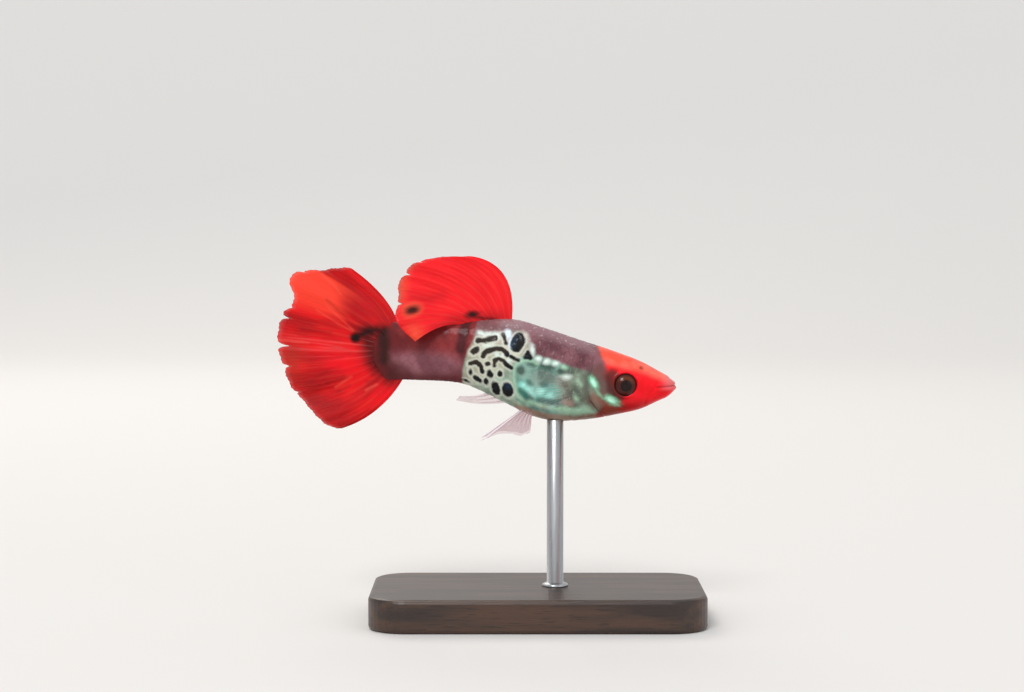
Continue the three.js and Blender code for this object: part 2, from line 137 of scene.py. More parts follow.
distance = PICTURE[0] * PIXEL * LENS / SENSOR
snout = in_scene(0, 0, 0)
aim = Vector(snout) + Vector(((PICTURE[0] / 2 - SNOUT_PIXEL[0]) * PIXEL, 0,
                              (SNOUT_PIXEL[1] - PICTURE[1] / 2) * PIXEL)) * MM
towards_camera = Vector((0, -math.cos(LOOKING_DOWN), math.sin(LOOKING_DOWN)))
camera_data = bpy.data.cameras.new("fish_camera")
camera_data.lens = LENS
camera_data.sensor_width = SENSOR
camera_data.clip_start = 0.005
camera = bpy.data.objects.new("fish_camera", camera_data)
camera.location = aim + towards_camera * distance * MM
camera.rotation_euler = towards_camera.to_track_quat("Z", "Y").to_euler()
bpy.context.collection.objects.link(camera)
bpy.context.scene.camera = camera
print("camera", round(distance, 1), "mm from the fish")

# %% [markdown]
# ## Floor and light
# A sweep of pale paper, floor and wall in one curve, leaves no horizon behind the fish. The light is soft
# studio light: a bright panel up in front, a larger and dimmer one ahead of the fish, and a small, faintly
# warm one behind and above, which shines through the thin fins and makes them glow.

# %% Helpers for materials


def linear(hex_colour):
    """An sRGB hex colour as the linear RGBA that shaders want."""
    parts = [int(hex_colour[k:k + 2], 16) / 255 for k in (1, 3, 5)]
    return [c / 12.92 if c <= 0.04045 else ((c + 0.055) / 1.055) ** 2.4 for c in parts] + [1.0]


def start_material(name):
    material = bpy.data.materials.new(name)
    material.use_nodes = True
    material.node_tree.nodes.clear()
    return material


def add_node(tree, kind, settings=None, **inputs):
    """Adds a node. settings are its own options. An input is a value, or an output socket to link from.
    Input names have _ for a space, and in0, in1 and so on pick an input by number."""
    node = tree.nodes.new(kind)
    for key, value in (settings or {}).items():
        setattr(node, key, value)
    for key, value in inputs.items():
        is_number = key.startswith("in") and key[2:].isdigit()
        socket = node.inputs[int(key[2:]) if is_number else key.replace("_", " ")]
        if isinstance(value, bpy.types.NodeSocket):
            tree.links.new(value, socket)
        else:
            socket.default_value = value
    return node


# %% Paper sweep


def mesh_object(name, points, faces, material):
    """Points in metres and faces of 3 or 4 corners as a smooth shaded object."""
    mesh = bpy.data.meshes.new(name)
    mesh.from_pydata([tuple(p) for p in points], [], faces)
    mesh.shade_smooth()
    piece = bpy.data.objects.new(name, mesh)
    bpy.context.collection.objects.link(piece)
    mesh.materials.append(material)
    return piece


def paper_sweep():
    """Floor, a quarter round, and wall, as one bent sheet."""
    front, turn_start, radius, top, half = -2.0, 0.4, 0.45, 1.6, 2.0
    profile = [(front, 0.0), (turn_start, 0.0)]
    profile += [(turn_start + radius * math.sin(a), radius * (1 - math.cos(a)))
                for a in np.linspace(0, math.pi / 2, 25)[1:]]
    profile.append((turn_start + radius, top))
    points = [(x, y, z) for y, z in profile for x in (-half, half)]
    faces = [(k, k + 1, k + 3, k + 2) for k in range(0, 2 * len(profile) - 2, 2)]
    paper = start_material("matte_photo_paper")
    tree = paper.node_tree
    grain = add_node(tree, "ShaderNodeTexNoise", Scale=900.0, Detail=3.0)
    bump = add_node(tree, "ShaderNodeBump", Strength=0.04, Distance=0.0002, Height=grain.outputs[0])
    shader = add_node(tree, "ShaderNodeBsdfPrincipled", Base_Color=linear("#E6E4E1"), Roughness=0.9,
                      Normal=bump.outputs[0])
    add_node(tree, "ShaderNodeOutputMaterial", Surface=shader.outputs[0])
    return mesh_object("paper_sweep", points, faces, paper)


paper_sweep()

# %% Studio light
FISH_MIDDLE = (-4, 0, 22)  # in millimetres


def soft_panel(name, place, size, watts, colour="#FFFFFF"):
    """A square light panel, given in millimetres, that faces the fish."""
    data = bpy.data.lights.new(name, "AREA")
    data.size = size * MM
    data.energy = watts
    data.color = linear(colour)[:3]
    panel = bpy.data.objects.new(name, data)
    panel.location = Vector(place) * MM
    panel.rotation_euler = (panel.location - Vector(FISH_MIDDLE) * MM).to_track_quat("Z", "Y").to_euler()
    bpy.context.collection.objects.link(panel)


soft_panel("key_panel", (-360, -1020, 1000), 420, 8.6)
soft_panel("fill_panel", (1140, -960, 360), 1080, 2.0, "#F4F7FF")
soft_panel("glow_panel", (-140, 330, 330), 230, 0.5, "#FFF6EC")
world = bpy.data.worlds.new("studio_air")
world.use_nodes = True
world.node_tree.nodes["Background"].inputs[0].default_value = linear("#F3F4F6")
world.node_tree.nodes["Background"].inputs[1].default_value = 0.78
bpy.context.scene.world = world
bpy.context.scene.view_settings.view_transform = "Standard"

# %% [markdown]
# ## The skin
# On the living fish one skin runs over head, jaw, gill covers, trunk and tail stalk. It could be sculpted,
# but a fish is nearly a lofted form: rings of points from snout to tail, each a rounded section. So the skin
# is a fine grid of such rings. Small forms are then pushed in or out along the surface's own direction:
# lips and the line of the mouth, nostrils, eye sockets, the gill opening, and every scale.

# %% Rings of the body
RINGS, RING_POINTS = 400, 238
RING_CROWDING = 1.35  # above 1, the rings lie closer together towards the snout


def body_point(behind, turn):
    """Behind, aside and height of the bare form. turn 0 is the back, a quarter turn the right flank."""
    up, side = np.cos(turn), np.sin(turn)
    widest = along(WIDEST_HEIGHT, behind)
    reach = np.where(up > 0, along(BACK, behind) - widest, widest - along(BELLY, behind))
    roundness = np.where(up > 0, along(BACK_ROUNDNESS, behind), along(BELLY_ROUNDNESS, behind))
    in_snout = np.clip(behind / SNOUT_ROUNDING, 0, 1)
    closing = np.sqrt(1 - (1 - in_snout) ** 2)
    height = widest + reach * np.sign(up) * np.abs(up) ** roundness * closing
    aside = -along(HALF_WIDTH, behind) * np.sign(side) * np.abs(side) ** roundness * closing
    tapered = ease(behind, BODY_LENGTH - TAIL_TAPER["length"], BODY_LENGTH)
    aside = aside * (1 - TAIL_TAPER["narrower_by"] * tapered)
    bulge = ease(behind, BODY_LENGTH - 5, BODY_LENGTH) * TAIL_ROOT_BULGE
    behind = behind + bulge * (1 - up ** 2)
    return behind, aside, height


ring_behind = BODY_LENGTH * (np.arange(1, RINGS + 1) / RINGS) ** RING_CROWDING
ring_turn = np.arange(RING_POINTS) / RING_POINTS * 2 * math.pi
turn_grid, behind_grid = np.meshgrid(ring_turn, ring_behind)
behind, aside, height = body_point(behind_grid, turn_grid)
past_root = np.maximum(behind - BODY_LENGTH, 0)
centre_aside = sway(np.minimum(behind, BODY_LENGTH)) + PAST_TAIL_ROOT * past_root
flesh = np.stack([-behind, centre_aside + aside, height], axis=-1)


def grid_normals(points):
    """Outward directions of a grid that closes on itself across its columns."""
    down = np.gradient(points, axis=0)
    round_way = np.roll(points, -1, axis=1) - np.roll(points, 1, axis=1)
    normals = np.cross(down, round_way)
    normals /= np.linalg.norm(normals, axis=-1, keepdims=True) + 1e-12
    middle = points.mean(axis=1, keepdims=True)
    inward = ((points - middle) * normals).sum(axis=-1, keepdims=True) < 0
    return np.where(inward, -normals, normals)


normals = grid_normals(flesh)
print("skin grid:", RINGS, "rings of", RING_POINTS, "points")

# %% [markdown]
# ### Distances to lines and spots
# Small forms and markings are drawn with distances, as a type designer's outlines are. A spot is the
# distance to an oval, and a stroke the distance to a bent line. Where the distance is small the skin sinks,
# rises or changes colour. Distances blend well between the points of a mesh, so edges of colour stay clean.

# %% Distance helpers


def from_oval(s, z, centre, size, tilt=0.0):
    """Roughly how far points lie outside an oval, in millimetres.
    size is (length, width) and tilt is in degrees."""
    a = math.radians(tilt)
    x, y = s - centre[0], z - centre[1]
    p, q = x * math.cos(a) + y * math.sin(a), -x * math.sin(a) + y * math.cos(a)
    half = (size[0] / 2, size[1] / 2)
    return (np.hypot(p / half[0], q / half[1]) - 1) * min(half)


def from_stroke(s, z, corners, width):
    """How far points lie outside a stroke of some width along a bent line, in millimetres."""
    nearest = np.full(np.shape(s), 1e3)
    for (s0, z0), (s1, z1) in zip(corners[:-1], corners[1:]):
        run = (s1 - s0) ** 2 + (z1 - z0) ** 2
        t = np.clip(((s - s0) * (s1 - s0) + (z - z0) * (z1 - z0)) / run, 0, 1)
        nearest = np.minimum(nearest, np.hypot(s - s0 - t * (s1 - s0), z - z0 - t * (z1 - z0)))
    return nearest - width / 2


def dent(distance, soft):
    """1 where a distance is nought or less, falling off smoothly to 0 over a soft width."""
    return np.exp(-(np.maximum(distance, 0) / soft) ** 2)


# %% [markdown]
# ### Head
# The eye has no lid. Its socket is a bowl in the skin whose opening is narrower than the ball, so the skin
# closes over the ball's outer rim. The lips are low ridges, the creases and the gill slit are shallow
# grooves, and the gill cover is a low plate.

# %% Head forms
EYE = {"behind": 4.55, "height": -0.3, "radius": 1.22, "depth": 0.8, "out": 0.24}
EYE_OPENING = {"radius": 1.0, "raised": 0.1}  # raised is how much higher than the ball it lies
MOUTH = {"front": 0.1, "corner": 2.0, "drop": 0.42}
NOSTRIL = {"behind": 3.3, "turn": math.radians(47)}
GILL = {"rear": 7.9, "height": -0.9, "upper": 0.058, "lower": 0.3}


def gill_edge(height):
    off = height - GILL["height"]
    return GILL["rear"] - off ** 2 * np.where(off > 0, GILL["upper"], GILL["lower"])


def gape_height(s):
    return MOUTH["front"] - MOUTH["drop"] * np.clip(s / MOUTH["corner"], 0, 1)


def head_relief(s, z, turn):
    """How far the head's small forms stand out of the bare form, in millimetres."""
    side = np.abs(np.sin(turn))
    off_gape = z - gape_height(s)
    near_mouth = ease(MOUTH["corner"] - s, 0, 0.6)
    lips = 0.09 * np.exp(-((np.abs(off_gape) - 0.24) / 0.17) ** 2) * near_mouth
    parting = -0.075 * np.exp(-(off_gape / 0.05) ** 2) * near_mouth
    jaw_crease = -0.06 * dent(from_stroke(s, z, [(1.9, -0.35), (2.5, -1.1), (2.7, -1.9)], 0.03), 0.16) * side
    lip_crease = -0.045 * dent(from_stroke(s, z, [(0.6, 0.62), (1.4, 0.42), (2.0, -0.1)], 0.02), 0.12)
    plate = ease(s, 5.2, 7.4) * ease(2.6 - np.abs(z - GILL["height"]), 0, 1.4)
    behind_edge = s - gill_edge(z)
    fading = 0.35 * np.exp(-np.maximum(behind_edge, 0) / 0.9)
    cover = 0.2 * plate * side * np.where(behind_edge < 0, 1, fading)
    slit_reach = ease(2.9 - np.abs(z - GILL["height"]), 0, 0.8)
    slit = -0.065 * np.exp(-((behind_edge - 0.07) / 0.11) ** 2) * slit_reach
    cheek_line = [(6.3, 0.7), (6.45, -0.6), (5.9, -1.7), (4.6, -2.35)]
    cheek = -0.045 * dent(from_stroke(s, z, cheek_line, 0.03), 0.13)
    fold_lines = [[(7.0, low), (5.6, low + 0.02), (4.4, low + 0.4)] for low in (-2.75, -3.1, -3.4)]
    folds = sum(-0.035 * dent(from_stroke(s, z, line, 0.02), 0.09) for line in fold_lines)
    return lips + parting + jaw_crease + lip_crease + cover + slit + (cheek + folds) * side


relief = head_relief(behind, height, turn_grid)
print("head relief from", round(float(relief.min()), 2), "to", round(float(relief.max()), 2), "mm")

# %% Eye sockets and nostrils


def surface_at(place_behind, turn):
    """A point of the bare form and the direction that the surface faces there."""
    def at(b, t):
        b, a, h = body_point(np.float64(b), np.float64(t))
        return np.array([-b, float(sway(b)) + a, h])
    on = at(place_behind, turn)
    out = np.cross(at(place_behind + 0.4, turn) - at(place_behind - 0.4, turn),
                   at(place_behind, turn + 0.1) - at(place_behind, turn - 0.1))
    out /= np.linalg.norm(out)
    if out @ (on - [on[0], 0, -0.3]) < 0:
        out = -out
    return on, out


eye_reach = float(along(BACK, EYE["behind"]) - along(WIDEST_HEIGHT, EYE["behind"]))
eye_turn = math.acos((EYE["height"] - float(along(WIDEST_HEIGHT, EYE["behind"]))) / eye_reach)
eyes = {}
nearest_nostril = np.full(flesh.shape[:2], 1e3)
for name, side in (("right", 1), ("left", -1)):
    on, out = surface_at(EYE["behind"], side * eye_turn)
    eyes[name] = {"centre": on + out * (EYE["out"] - EYE["depth"]), "on": on, "out": out}
    away = flesh - on - [0, 0, EYE_OPENING["raised"]]
    level = away - (away @ out)[..., None] * out
    ring = np.linalg.norm(level, axis=-1)
    same_side = (away @ out) > -1.5
    bowl = -0.75 * (1 - ease(ring, EYE_OPENING["radius"] - 0.2, EYE_OPENING["radius"] + 0.06))
    rim = 0.08 * np.exp(-((ring - EYE_OPENING["radius"] - 0.15) / 0.14) ** 2)
    relief = np.where(same_side & (ring < 2.2), relief * ease(ring, 0.9, 1.4) + bowl + rim, relief)
    nose, _ = surface_at(NOSTRIL["behind"], side * NOSTRIL["turn"])
    to_nose = np.linalg.norm(flesh - nose, axis=-1)
    relief += -0.16 * np.exp(-(to_nose / 0.13) ** 2) + 0.035 * np.exp(-((to_nose - 0.27) / 0.09) ** 2)
    nearest_nostril = np.minimum(nearest_nostril, to_nose)
print("eyes", round(float(eyes["left"]["centre"][1] - eyes["right"]["centre"][1]), 2), "mm apart")

# %% [markdown]
# ### Scales
# A guppy has some 27 scales along its side. Each is a thin round plate that lies over the one behind it.
# They could be bump only, but real geometry catches the light at every angle, so each scale tilts the skin
# by a few hundredths of a millimetre. A point belongs to the foremost scale that covers it.

# %% Scales
SCALE_LENGTH, SCALE_HEIGHT = 0.86, 0.66  # spacing along the fish and around it, in millimetres
SCALE_TILT = 0.03

step_round = np.linalg.norm(np.roll(flesh, -1, axis=1) - flesh, axis=-1)
round_flank = np.cumsum(step_round, axis=1) - step_round
quarter = RING_POINTS // 4
from_flank = np.where(turn_grid < math.pi, round_flank - round_flank[:, quarter:quarter + 1],
                      round_flank[:, RING_POINTS - quarter:RING_POINTS - quarter + 1] - round_flank)


def scale_relief(s, across):
    """Height of the scales and nearness to a scale's free edge, on staggered rows."""
    best = np.full(s.shape, 1e3)
    rise, edge = np.zeros(s.shape), np.zeros(s.shape)
    radius = SCALE_LENGTH * 0.66
    for row_step in (-1, 0, 1):
        row = np.round(across / SCALE_HEIGHT) + row_step
        shift = 0.5 * (row % 2)
        for column_step in (-1, 0, 1):
            column = np.round(s / SCALE_LENGTH - shift) + column_step
            centre = (column + shift) * SCALE_LENGTH
            off = np.hypot(s - centre, (across - row * SCALE_HEIGHT) * 0.92)
            wins = (off < radius) & (centre < best)
            best = np.where(wins, centre, best)
            rise = np.where(wins, (s - centre) / radius, rise)
            edge = np.where(wins, off / radius, edge)
    return rise, edge


scale_rise, scale_edge = scale_relief(behind, from_flank)
scaled = ease(behind, 6.6, 8.2) * (1 - 0.6 * ease(behind, 25.5, 27.3))
scaled = np.maximum(scaled, 0.45 * ease(behind, 2.6, 4.5) * ease(np.cos(turn_grid), 0.35, 0.7))
near_eye = np.minimum(*[np.linalg.norm(flesh - eyes[n]["on"], axis=-1) for n in eyes])
scaled *= ease(near_eye, 1.3, 1.9)
scaled *= 1 - 0.7 * ease(behind, 18.5, 20) * ease(height, 0.8, 2.0)
relief += scaled * SCALE_TILT * (scale_rise - 0.3)
print("scales along the flank:", int((BODY_LENGTH - 4) / SCALE_LENGTH))

# %% [markdown]
# ### Markings
# The colour pattern of a snakeskin guppy is pigment of two kinds. Black cells make spots and broken bands,
# and shiny plates make the cream net around them and the turquoise flank. The spots are placed where the
# picture shows them, each an oval or a stroke in millimetres. The skin stores only how far each of its points
# lies from them, and the material turns these distances into pigment. The far side, which the picture
# doesn't show, has the same marks, shifted and bent a little.

# %% Places read off the picture


def seen(x, y):
    """A pixel of the picture as millimetres behind the snout and above the line from snout to tail root,
    to the nearest hundredth."""
    right, down = x - SNOUT_PIXEL[0], y - SNOUT_PIXEL[1]
    return (round(-(right * math.cos(NOSE_DOWN) + down * math.sin(NOSE_DOWN)) * PIXEL, 2),
            round((right * math.sin(NOSE_DOWN) - down * math.cos(NOSE_DOWN)) * PIXEL, 2))


# %% Spots, bands and patches
# An oval is (centre, (length, width), tilt in degrees). A stroke is (corners, width). The places in seen are
# pixels, picked one by one. All other places and sizes are millimetres.
BLACK_OVALS = [(seen(518, 341.5), (1.85, 1.22), 103), (seen(475, 350), (0.9, 0.62), 138),
               (seen(488, 363), (0.5, 0.45), 0), (seen(470.6, 371.4), (0.6, 0.4), 83),
               (seen(490, 372.8), (0.95, 0.58), 64),
               (seen(500, 372.3), (0.62, 0.46), 83), (seen(477.8, 378.7), (0.98, 0.52), 33),
               (seen(486.4, 381), (0.62, 0.42), 70), (seen(495.9, 387.2), (1.42, 0.76), 68),
               (seen(507.4, 388.8), (1.4, 1.0), 68), (seen(466.5, 380.5), (0.6, 0.26), 20)]
BLACK_STROKES = [([seen(478.5, 340), seen(485.5, 339.6), seen(490, 338.4), seen(495.5, 337.4)], 0.5),
                 ([seen(503, 333.5), seen(506.2, 342)], 0.36),
                 ([seen(483.2, 355.2), seen(484.6, 351.6), seen(491, 349.4), seen(496.5, 347.6),
                   seen(501.5, 348), seen(505.5, 351), seen(507.2, 353.8)], 0.46),
                 ([seen(511, 355.4), seen(517.6, 359)], 0.38),
                 ([seen(494.4, 365), seen(494.5, 359.6), seen(498.8, 357.6), seen(503.6, 359.6),
                   seen(506.6, 363.6), seen(511.2, 367)], 0.37),
                 ([seen(470.2, 362.6), seen(477, 361.4), seen(480.6, 365), seen(482.6, 370.6)], 0.42),
                 ([seen(528, 350.8), seen(524.8, 356.4), seen(530.6, 356.6), seen(528, 350.8)], 0.3)]
DARK_GREEN_OVALS = [(seen(520.4, 369), (0.85, 0.8), 0), (seen(549.5, 366.2), (0.9, 0.55), 160),
                    (seen(560.5, 369.5), (0.7, 0.6), 0), (seen(508.8, 374.2), (0.42, 0.32), 0),
                    (seen(536.8, 352.6), (0.6, 0.42), 0), (seen(558.4, 405.5), (0.55, 0.42), 0),
                    (seen(516, 398.5), (0.6, 0.34), 40)]
DARK_GREEN_STROKES = [([seen(529.5, 363.2), seen(536, 361.4), seen(543.5, 364)], 0.34)]
TEAL_OVALS = [(seen(529.5, 381.5), (0.75, 0.5), 30), (seen(543, 383.2), (0.8, 0.45), 170),
              (seen(551.5, 401.2), (1.1, 0.5), 173)]
TEAL_STROKES = [([seen(520, 389.6), seen(530, 397.4)], 0.5), ([seen(538.5, 399), seen(556, 401)], 0.45)]
AQUA_OVALS = [(seen(546, 391.8), (1.9, 1.15), 170), (seen(527.5, 386), (0.9, 0.5), 30),
              (seen(522.5, 383.5), (0.5, 0.4), 0), (seen(540, 391), (0.8, 0.8), 0)]
AQUA_STROKES = [([seen(531, 390), seen(536, 399)], 0.2)]
AQUA_CORES = [(seen(529, 388.5), (0.75, 0.3), 35), (seen(541, 390), (0.6, 0.4), 160),
              (seen(549.5, 394), (0.55, 0.35), 0), (seen(523.3, 383.8), (0.4, 0.32), 0),
              (seen(553, 406.5), (0.55, 0.3), 165)]
PALE_OVALS = [(seen(563.4, 365.8), (0.5, 0.36), 0), (seen(575.5, 396.6), (0.5, 0.28), 60),
              (seen(518.5, 402), (0.5, 0.3), 30)]
PALE_STROKES = [([seen(513.5, 377), seen(513.8, 366), seen(519, 359.8), seen(528, 358.4),
                  seen(538, 362.4)], 0.2),
                ([seen(513.8, 378), seen(515, 388), seen(518, 396), seen(528, 403)], 0.24),
                ([(10.09, -3.18), (8.82, -3.27), seen(594, 407.6)], 0.7),
                ([(13.0, -2.8), (11.4, -3.12), (10.3, -3.2)], 0.28),
                ([seen(577, 379), seen(581, 384)], 0.2)]
WHITE_OVALS = [(seen(532, 348.8), (0.85, 0.42), 75), (seen(538.7, 357.6), (0.56, 0.44), 20),
               (seen(546, 360), (0.58, 0.46), 0), (seen(555, 361.8), (0.5, 0.34), 0),
               (seen(565.4, 375.6), (0.74, 0.42), 173), (seen(497.4, 353.8), (0.42, 0.34), 0),
               (seen(502.4, 354.8), (0.34, 0.3), 0), (seen(508.2, 359.6), (0.4, 0.32), 0)]
WHITE_STROKES = [([seen(479.6, 332), seen(484, 334.2), seen(491, 332.6), seen(496.8, 333.6),
                   seen(498.6, 337.4)], 0.19),
                 ([seen(483, 345.2), seen(488.6, 344.6), seen(493.4, 343.6)], 0.13)]
GLINT_OVALS = [(seen(508.4, 333.2), (0.8, 0.62), 60), (seen(510.2, 341), (0.9, 0.26), 85)]
BLUSH_OVALS = [(seen(568, 402.4), (0.95, 0.75), 0)]
# painted blue glints, reflections on two black spots
BLUE_GLINT_OVALS = [(seen(512.6, 341.5), (1.35, 0.5), 103), (seen(508.5, 384), (0.6, 0.6), 0)]
MINT_OVALS = [(seen(592.5, 380.8), (1.15, 0.56), 52), (seen(611, 399), (1.4, 0.6), 22)]
MINT_STROKES = [([seen(593.5, 384), seen(597, 391), seen(602, 396)], 0.13)]
TAIL_BAND_STROKES = [([seen(356.5, 337.5), seen(366, 332.5), seen(376, 330), seen(385, 332)], 0.6),
                     ([(26.62, 1.86), (26.46, 0.62), (26.36, -0.64)], 0.95)]
TAIL_MAROON_STROKES = [([(28.2, 1.4), seen(371, 352), seen(377, 366), seen(389, 374)], 1.6),
                       ([(26.95, 1.5), (27.0, 0.2), (26.5, -1.1)], 1.3)]


def nearest_mark(s, z, ovals, strokes=()):
    """Distance to the nearest of many marks, below nought inside one."""
    distances = [from_oval(s, z, *oval) for oval in ovals]
    distances += [from_stroke(s, z, *stroke) for stroke in strokes]
    return np.minimum.reduce(distances)


left_side = np.sin(turn_grid) < 0
mark_s = behind + np.where(left_side, 0.12 * np.sin(height * 2.1), 0)
mark_z = height + np.where(left_side, 0.1 * np.sin(behind * 1.7), 0)
marks = {
    "black": (BLACK_OVALS, BLACK_STROKES),
    "dark_green": (DARK_GREEN_OVALS, DARK_GREEN_STROKES),
    "teal": (TEAL_OVALS, TEAL_STROKES),
    "aqua": (AQUA_OVALS, AQUA_STROKES),
    "pale": (PALE_OVALS, PALE_STROKES),
    "white": (WHITE_OVALS, WHITE_STROKES),
    "glint": (GLINT_OVALS,),
    "aqua_core": (AQUA_CORES,),
    "mint": (MINT_OVALS, MINT_STROKES),
    "tail_band": ((), TAIL_BAND_STROKES),
    "tail_maroon": ((), TAIL_MAROON_STROKES),
    "blush": (BLUSH_OVALS,),
    "blue_ink": (BLUE_GLINT_OVALS,),
}
marks = {key: nearest_mark(mark_s, mark_z, *shapes) for key, shapes in marks.items()}
print("marks on each side:", len(BLACK_OVALS) + len(BLACK_STROKES), "black,", len(WHITE_OVALS), "white spots")

# %% [markdown]
# ### Zones
# A zone is a whole stretch of the fish with one ground colour: the scarlet head, the turquoise flank, the
# snakeskin, the tail stalk. Its rim is a curve of places, and the mask eases from 0 to 1 across that rim.
# Small soft patches of shade on the cheek, the gill and the stalk are masks of the same kind, and so is the
# painted shadow behind the eye.

# %% Colour zones
red_edge = along([(-4, 6.9), (-3.1, 6.7), (-2.4, 6.35), (-1.4, 5.6), (-0.6, 5.9), (0.3, 6.75), (0.9, 6.6),
                  (1.4, 6.65), (1.85, 6.9), (2.45, 7.2), (3.05, 7.45), (4, 7.7)], height)
flank_top = along([(6.5, 0.45), (7.8, 0.56), (9.2, 0.76), (10.6, 1.06), (12, 1.35), (13.4, 1.5), (14.6, 1.2),
                   (16, 0.6)], behind)
snake_front = along([(-4, 14.2), (-2.6, 14.1), (-1, 14.6), (0.3, 14.7), (1.2, 14.0), (1.9, 13.5), (3.2, 13.6),
                     (4.5, 14.6)], height)
snake_rear = along([(-3, 18.7), (-1.6, 19.1), (0, 19.1), (1.2, 18.9), (2.2, 18.55), (3, 18.45),
                    (4.5, 18.4)], height)
# painted shadow behind the eye
eye_shadow_line = [(5.85, 0.3), (5.7, -0.1), (5.6, -0.7), (5.2, -1.35)]
low_stalk_line = [seen(390, 371), seen(403, 375)]
snake_top = ease(height - 0.35 * (1 - ease(behind, 15.2, 17)), 2.6, 3.4)
zones = {
    "red_zone": 1 - ease(behind - red_edge, -0.45, 0.45),
    "flank_zone": 1 - ease(height - flank_top, -0.4, 0.3),
    "snake_zone": ease(behind - snake_front, -0.3, 0.4) * (1 - ease(behind - snake_rear, -0.4, 0.3)),
    "snake_top": snake_top,
    "stalk_zone": ease(behind - snake_rear, -0.25, 0.25),
    "belly_zone": 1 - ease(height - along(BELLY, np.minimum(behind, BODY_LENGTH)), 0.35, 0.95),
    "olive_zone": dent(from_oval(behind, height, (8.9, -1.0), (3.0, 2.7), 100), 0.55),
    "tail_low": dent(from_stroke(behind, height, low_stalk_line, 0.9), 0.5),
    "tail_red": ease(behind + 0.12 * np.abs(height - 0.4), 25.7, 26.9),
    # painted shadow behind the eye
    "dusk": dent(from_stroke(behind, height, eye_shadow_line, 0.4), 0.55),
    "cheek": dent(from_stroke(behind, height, [(7.1, 0.4), (6.6, -0.6), (6.0, -1.4)], 0.6), 0.7),
    "low_cheek": dent(from_stroke(behind, height, [(7.0, -2.0), (6.4, -2.2), (5.7, -2.6)], 0.5), 0.65),
    "gill_shade": (dent(np.abs(behind - gill_edge(height) - 0.15) - 0.1, 0.3)
                   * ease(2.6 - np.abs(height + 1.2), 0, 1.2)),
    "stalk_bar": dent(from_stroke(behind, height, [(19.35, 3.8), (19.6, 1.2)], 0.45), 0.3),
}
print("zones:", ", ".join(zones))

# %% [markdown]
# ### From grid to mesh
# The finished grid becomes one closed mesh. Its distances and zones ride along as attributes of the points,
# for the material to read, and so does each point's place on the fish in millimetres, which the fine grain
# of the skin is scaled by.

# %% Grid meshes


def grid_object(name, points, material, wrap=False, caps=(), attributes=None, second_sheet=None):
    """A grid of points (rows x columns x 3, metres) as a mesh with UV map OFBake.
    wrap closes it across its columns. caps are end points that close its first and last rows.
    second_sheet is a like grid, the far face of a thin sheet, and a rim joins the two."""
    rows, columns = points.shape[:2]
    index = np.arange(rows * columns).reshape(rows, columns)
    uv_u = np.linspace(0.002, 0.998, rows)[:, None] * np.ones(columns)
    uv_v = np.ones(rows)[:, None] * np.linspace(0.002, 0.998, columns + 1 if wrap else columns)[:columns]
    after = np.roll(index, -1, axis=1) if wrap else index[:, 1:]
    before = index if wrap else index[:, :-1]
    quads = np.stack([before[:-1], before[1:], after[1:], after[:-1]], axis=-1).reshape(-1, 4)
    coords, uvs = [points.reshape(-1, 3)], [np.stack([uv_u, uv_v], -1).reshape(-1, 2)]
    faces = [quads]
    if second_sheet is not None:
        count = rows * columns
        coords.append(second_sheet.reshape(-1, 3))
        uvs[0] = uvs[0] * (1, 0.49)
        uvs.append(uvs[0] + (0, 0.5))
        faces.append(quads[:, ::-1] + count)
        rim = np.concatenate([index[0, ::-1], index[1:, 0], index[-1, 1:], index[-2:0:-1, -1]])
        ahead = np.roll(rim, -1)
        faces.append(np.stack([rim, ahead, ahead + count, rim + count], -1))
    quads = np.concatenate(faces)
    coords = np.concatenate(coords)
    uvs = np.concatenate(uvs)
    loops, starts = quads.reshape(-1), np.arange(len(quads)) * 4
    sizes = np.full(len(quads), 4)
    if caps:
        first, last = len(coords), len(coords) + 1
        coords = np.concatenate([coords, np.array(caps)])
        uvs = np.concatenate([uvs, [[0.001, 0.5], [0.999, 0.5]]])
        ring = index[0]
        cap_a = np.stack([np.full(columns, first), ring, np.roll(ring, -1)], -1)
        ring = index[-1]
        cap_b = np.stack([np.full(columns, last), np.roll(ring, -1), ring], -1)
        triangles = np.concatenate([cap_a, cap_b])
        starts = np.concatenate([starts, len(loops) + np.arange(len(triangles)) * 3])
        loops = np.concatenate([loops, triangles.reshape(-1)])
        sizes = np.concatenate([sizes, np.full(len(triangles), 3)])
    mesh = bpy.data.meshes.new(name)
    mesh.vertices.add(len(coords))
    mesh.vertices.foreach_set("co", coords.reshape(-1).astype(np.float32))
    mesh.loops.add(len(loops))
    mesh.loops.foreach_set("vertex_index", loops.astype(np.int32))
    mesh.polygons.add(len(starts))
    mesh.polygons.foreach_set("loop_start", starts.astype(np.int32))
    mesh.update(calc_edges=True)
    mesh.validate()
    layer = mesh.uv_layers.new(name="OFBake")
    layer.data.foreach_set("uv", uvs[loops].reshape(-1).astype(np.float32))
    extra = len(coords) - rows * columns
    for key, values in (attributes or {}).items():
        flat = values.reshape(rows * columns, -1)
        tail = flat[:extra] if second_sheet is not None else flat[[0, -1]][:extra]
        flat = np.concatenate([flat, tail]).astype(np.float32)
        kind, field = ("FLOAT_VECTOR", "vector") if flat.shape[1] == 3 else ("FLOAT", "value")
        mesh.attributes.new(key, kind, "POINT").data.foreach_set(field, flat.reshape(-1))
    mesh.shade_smooth()
    mesh.materials.append(material)
    piece = bpy.data.objects.new(name, mesh)
    bpy.context.collection.objects.link(piece)
    return piece


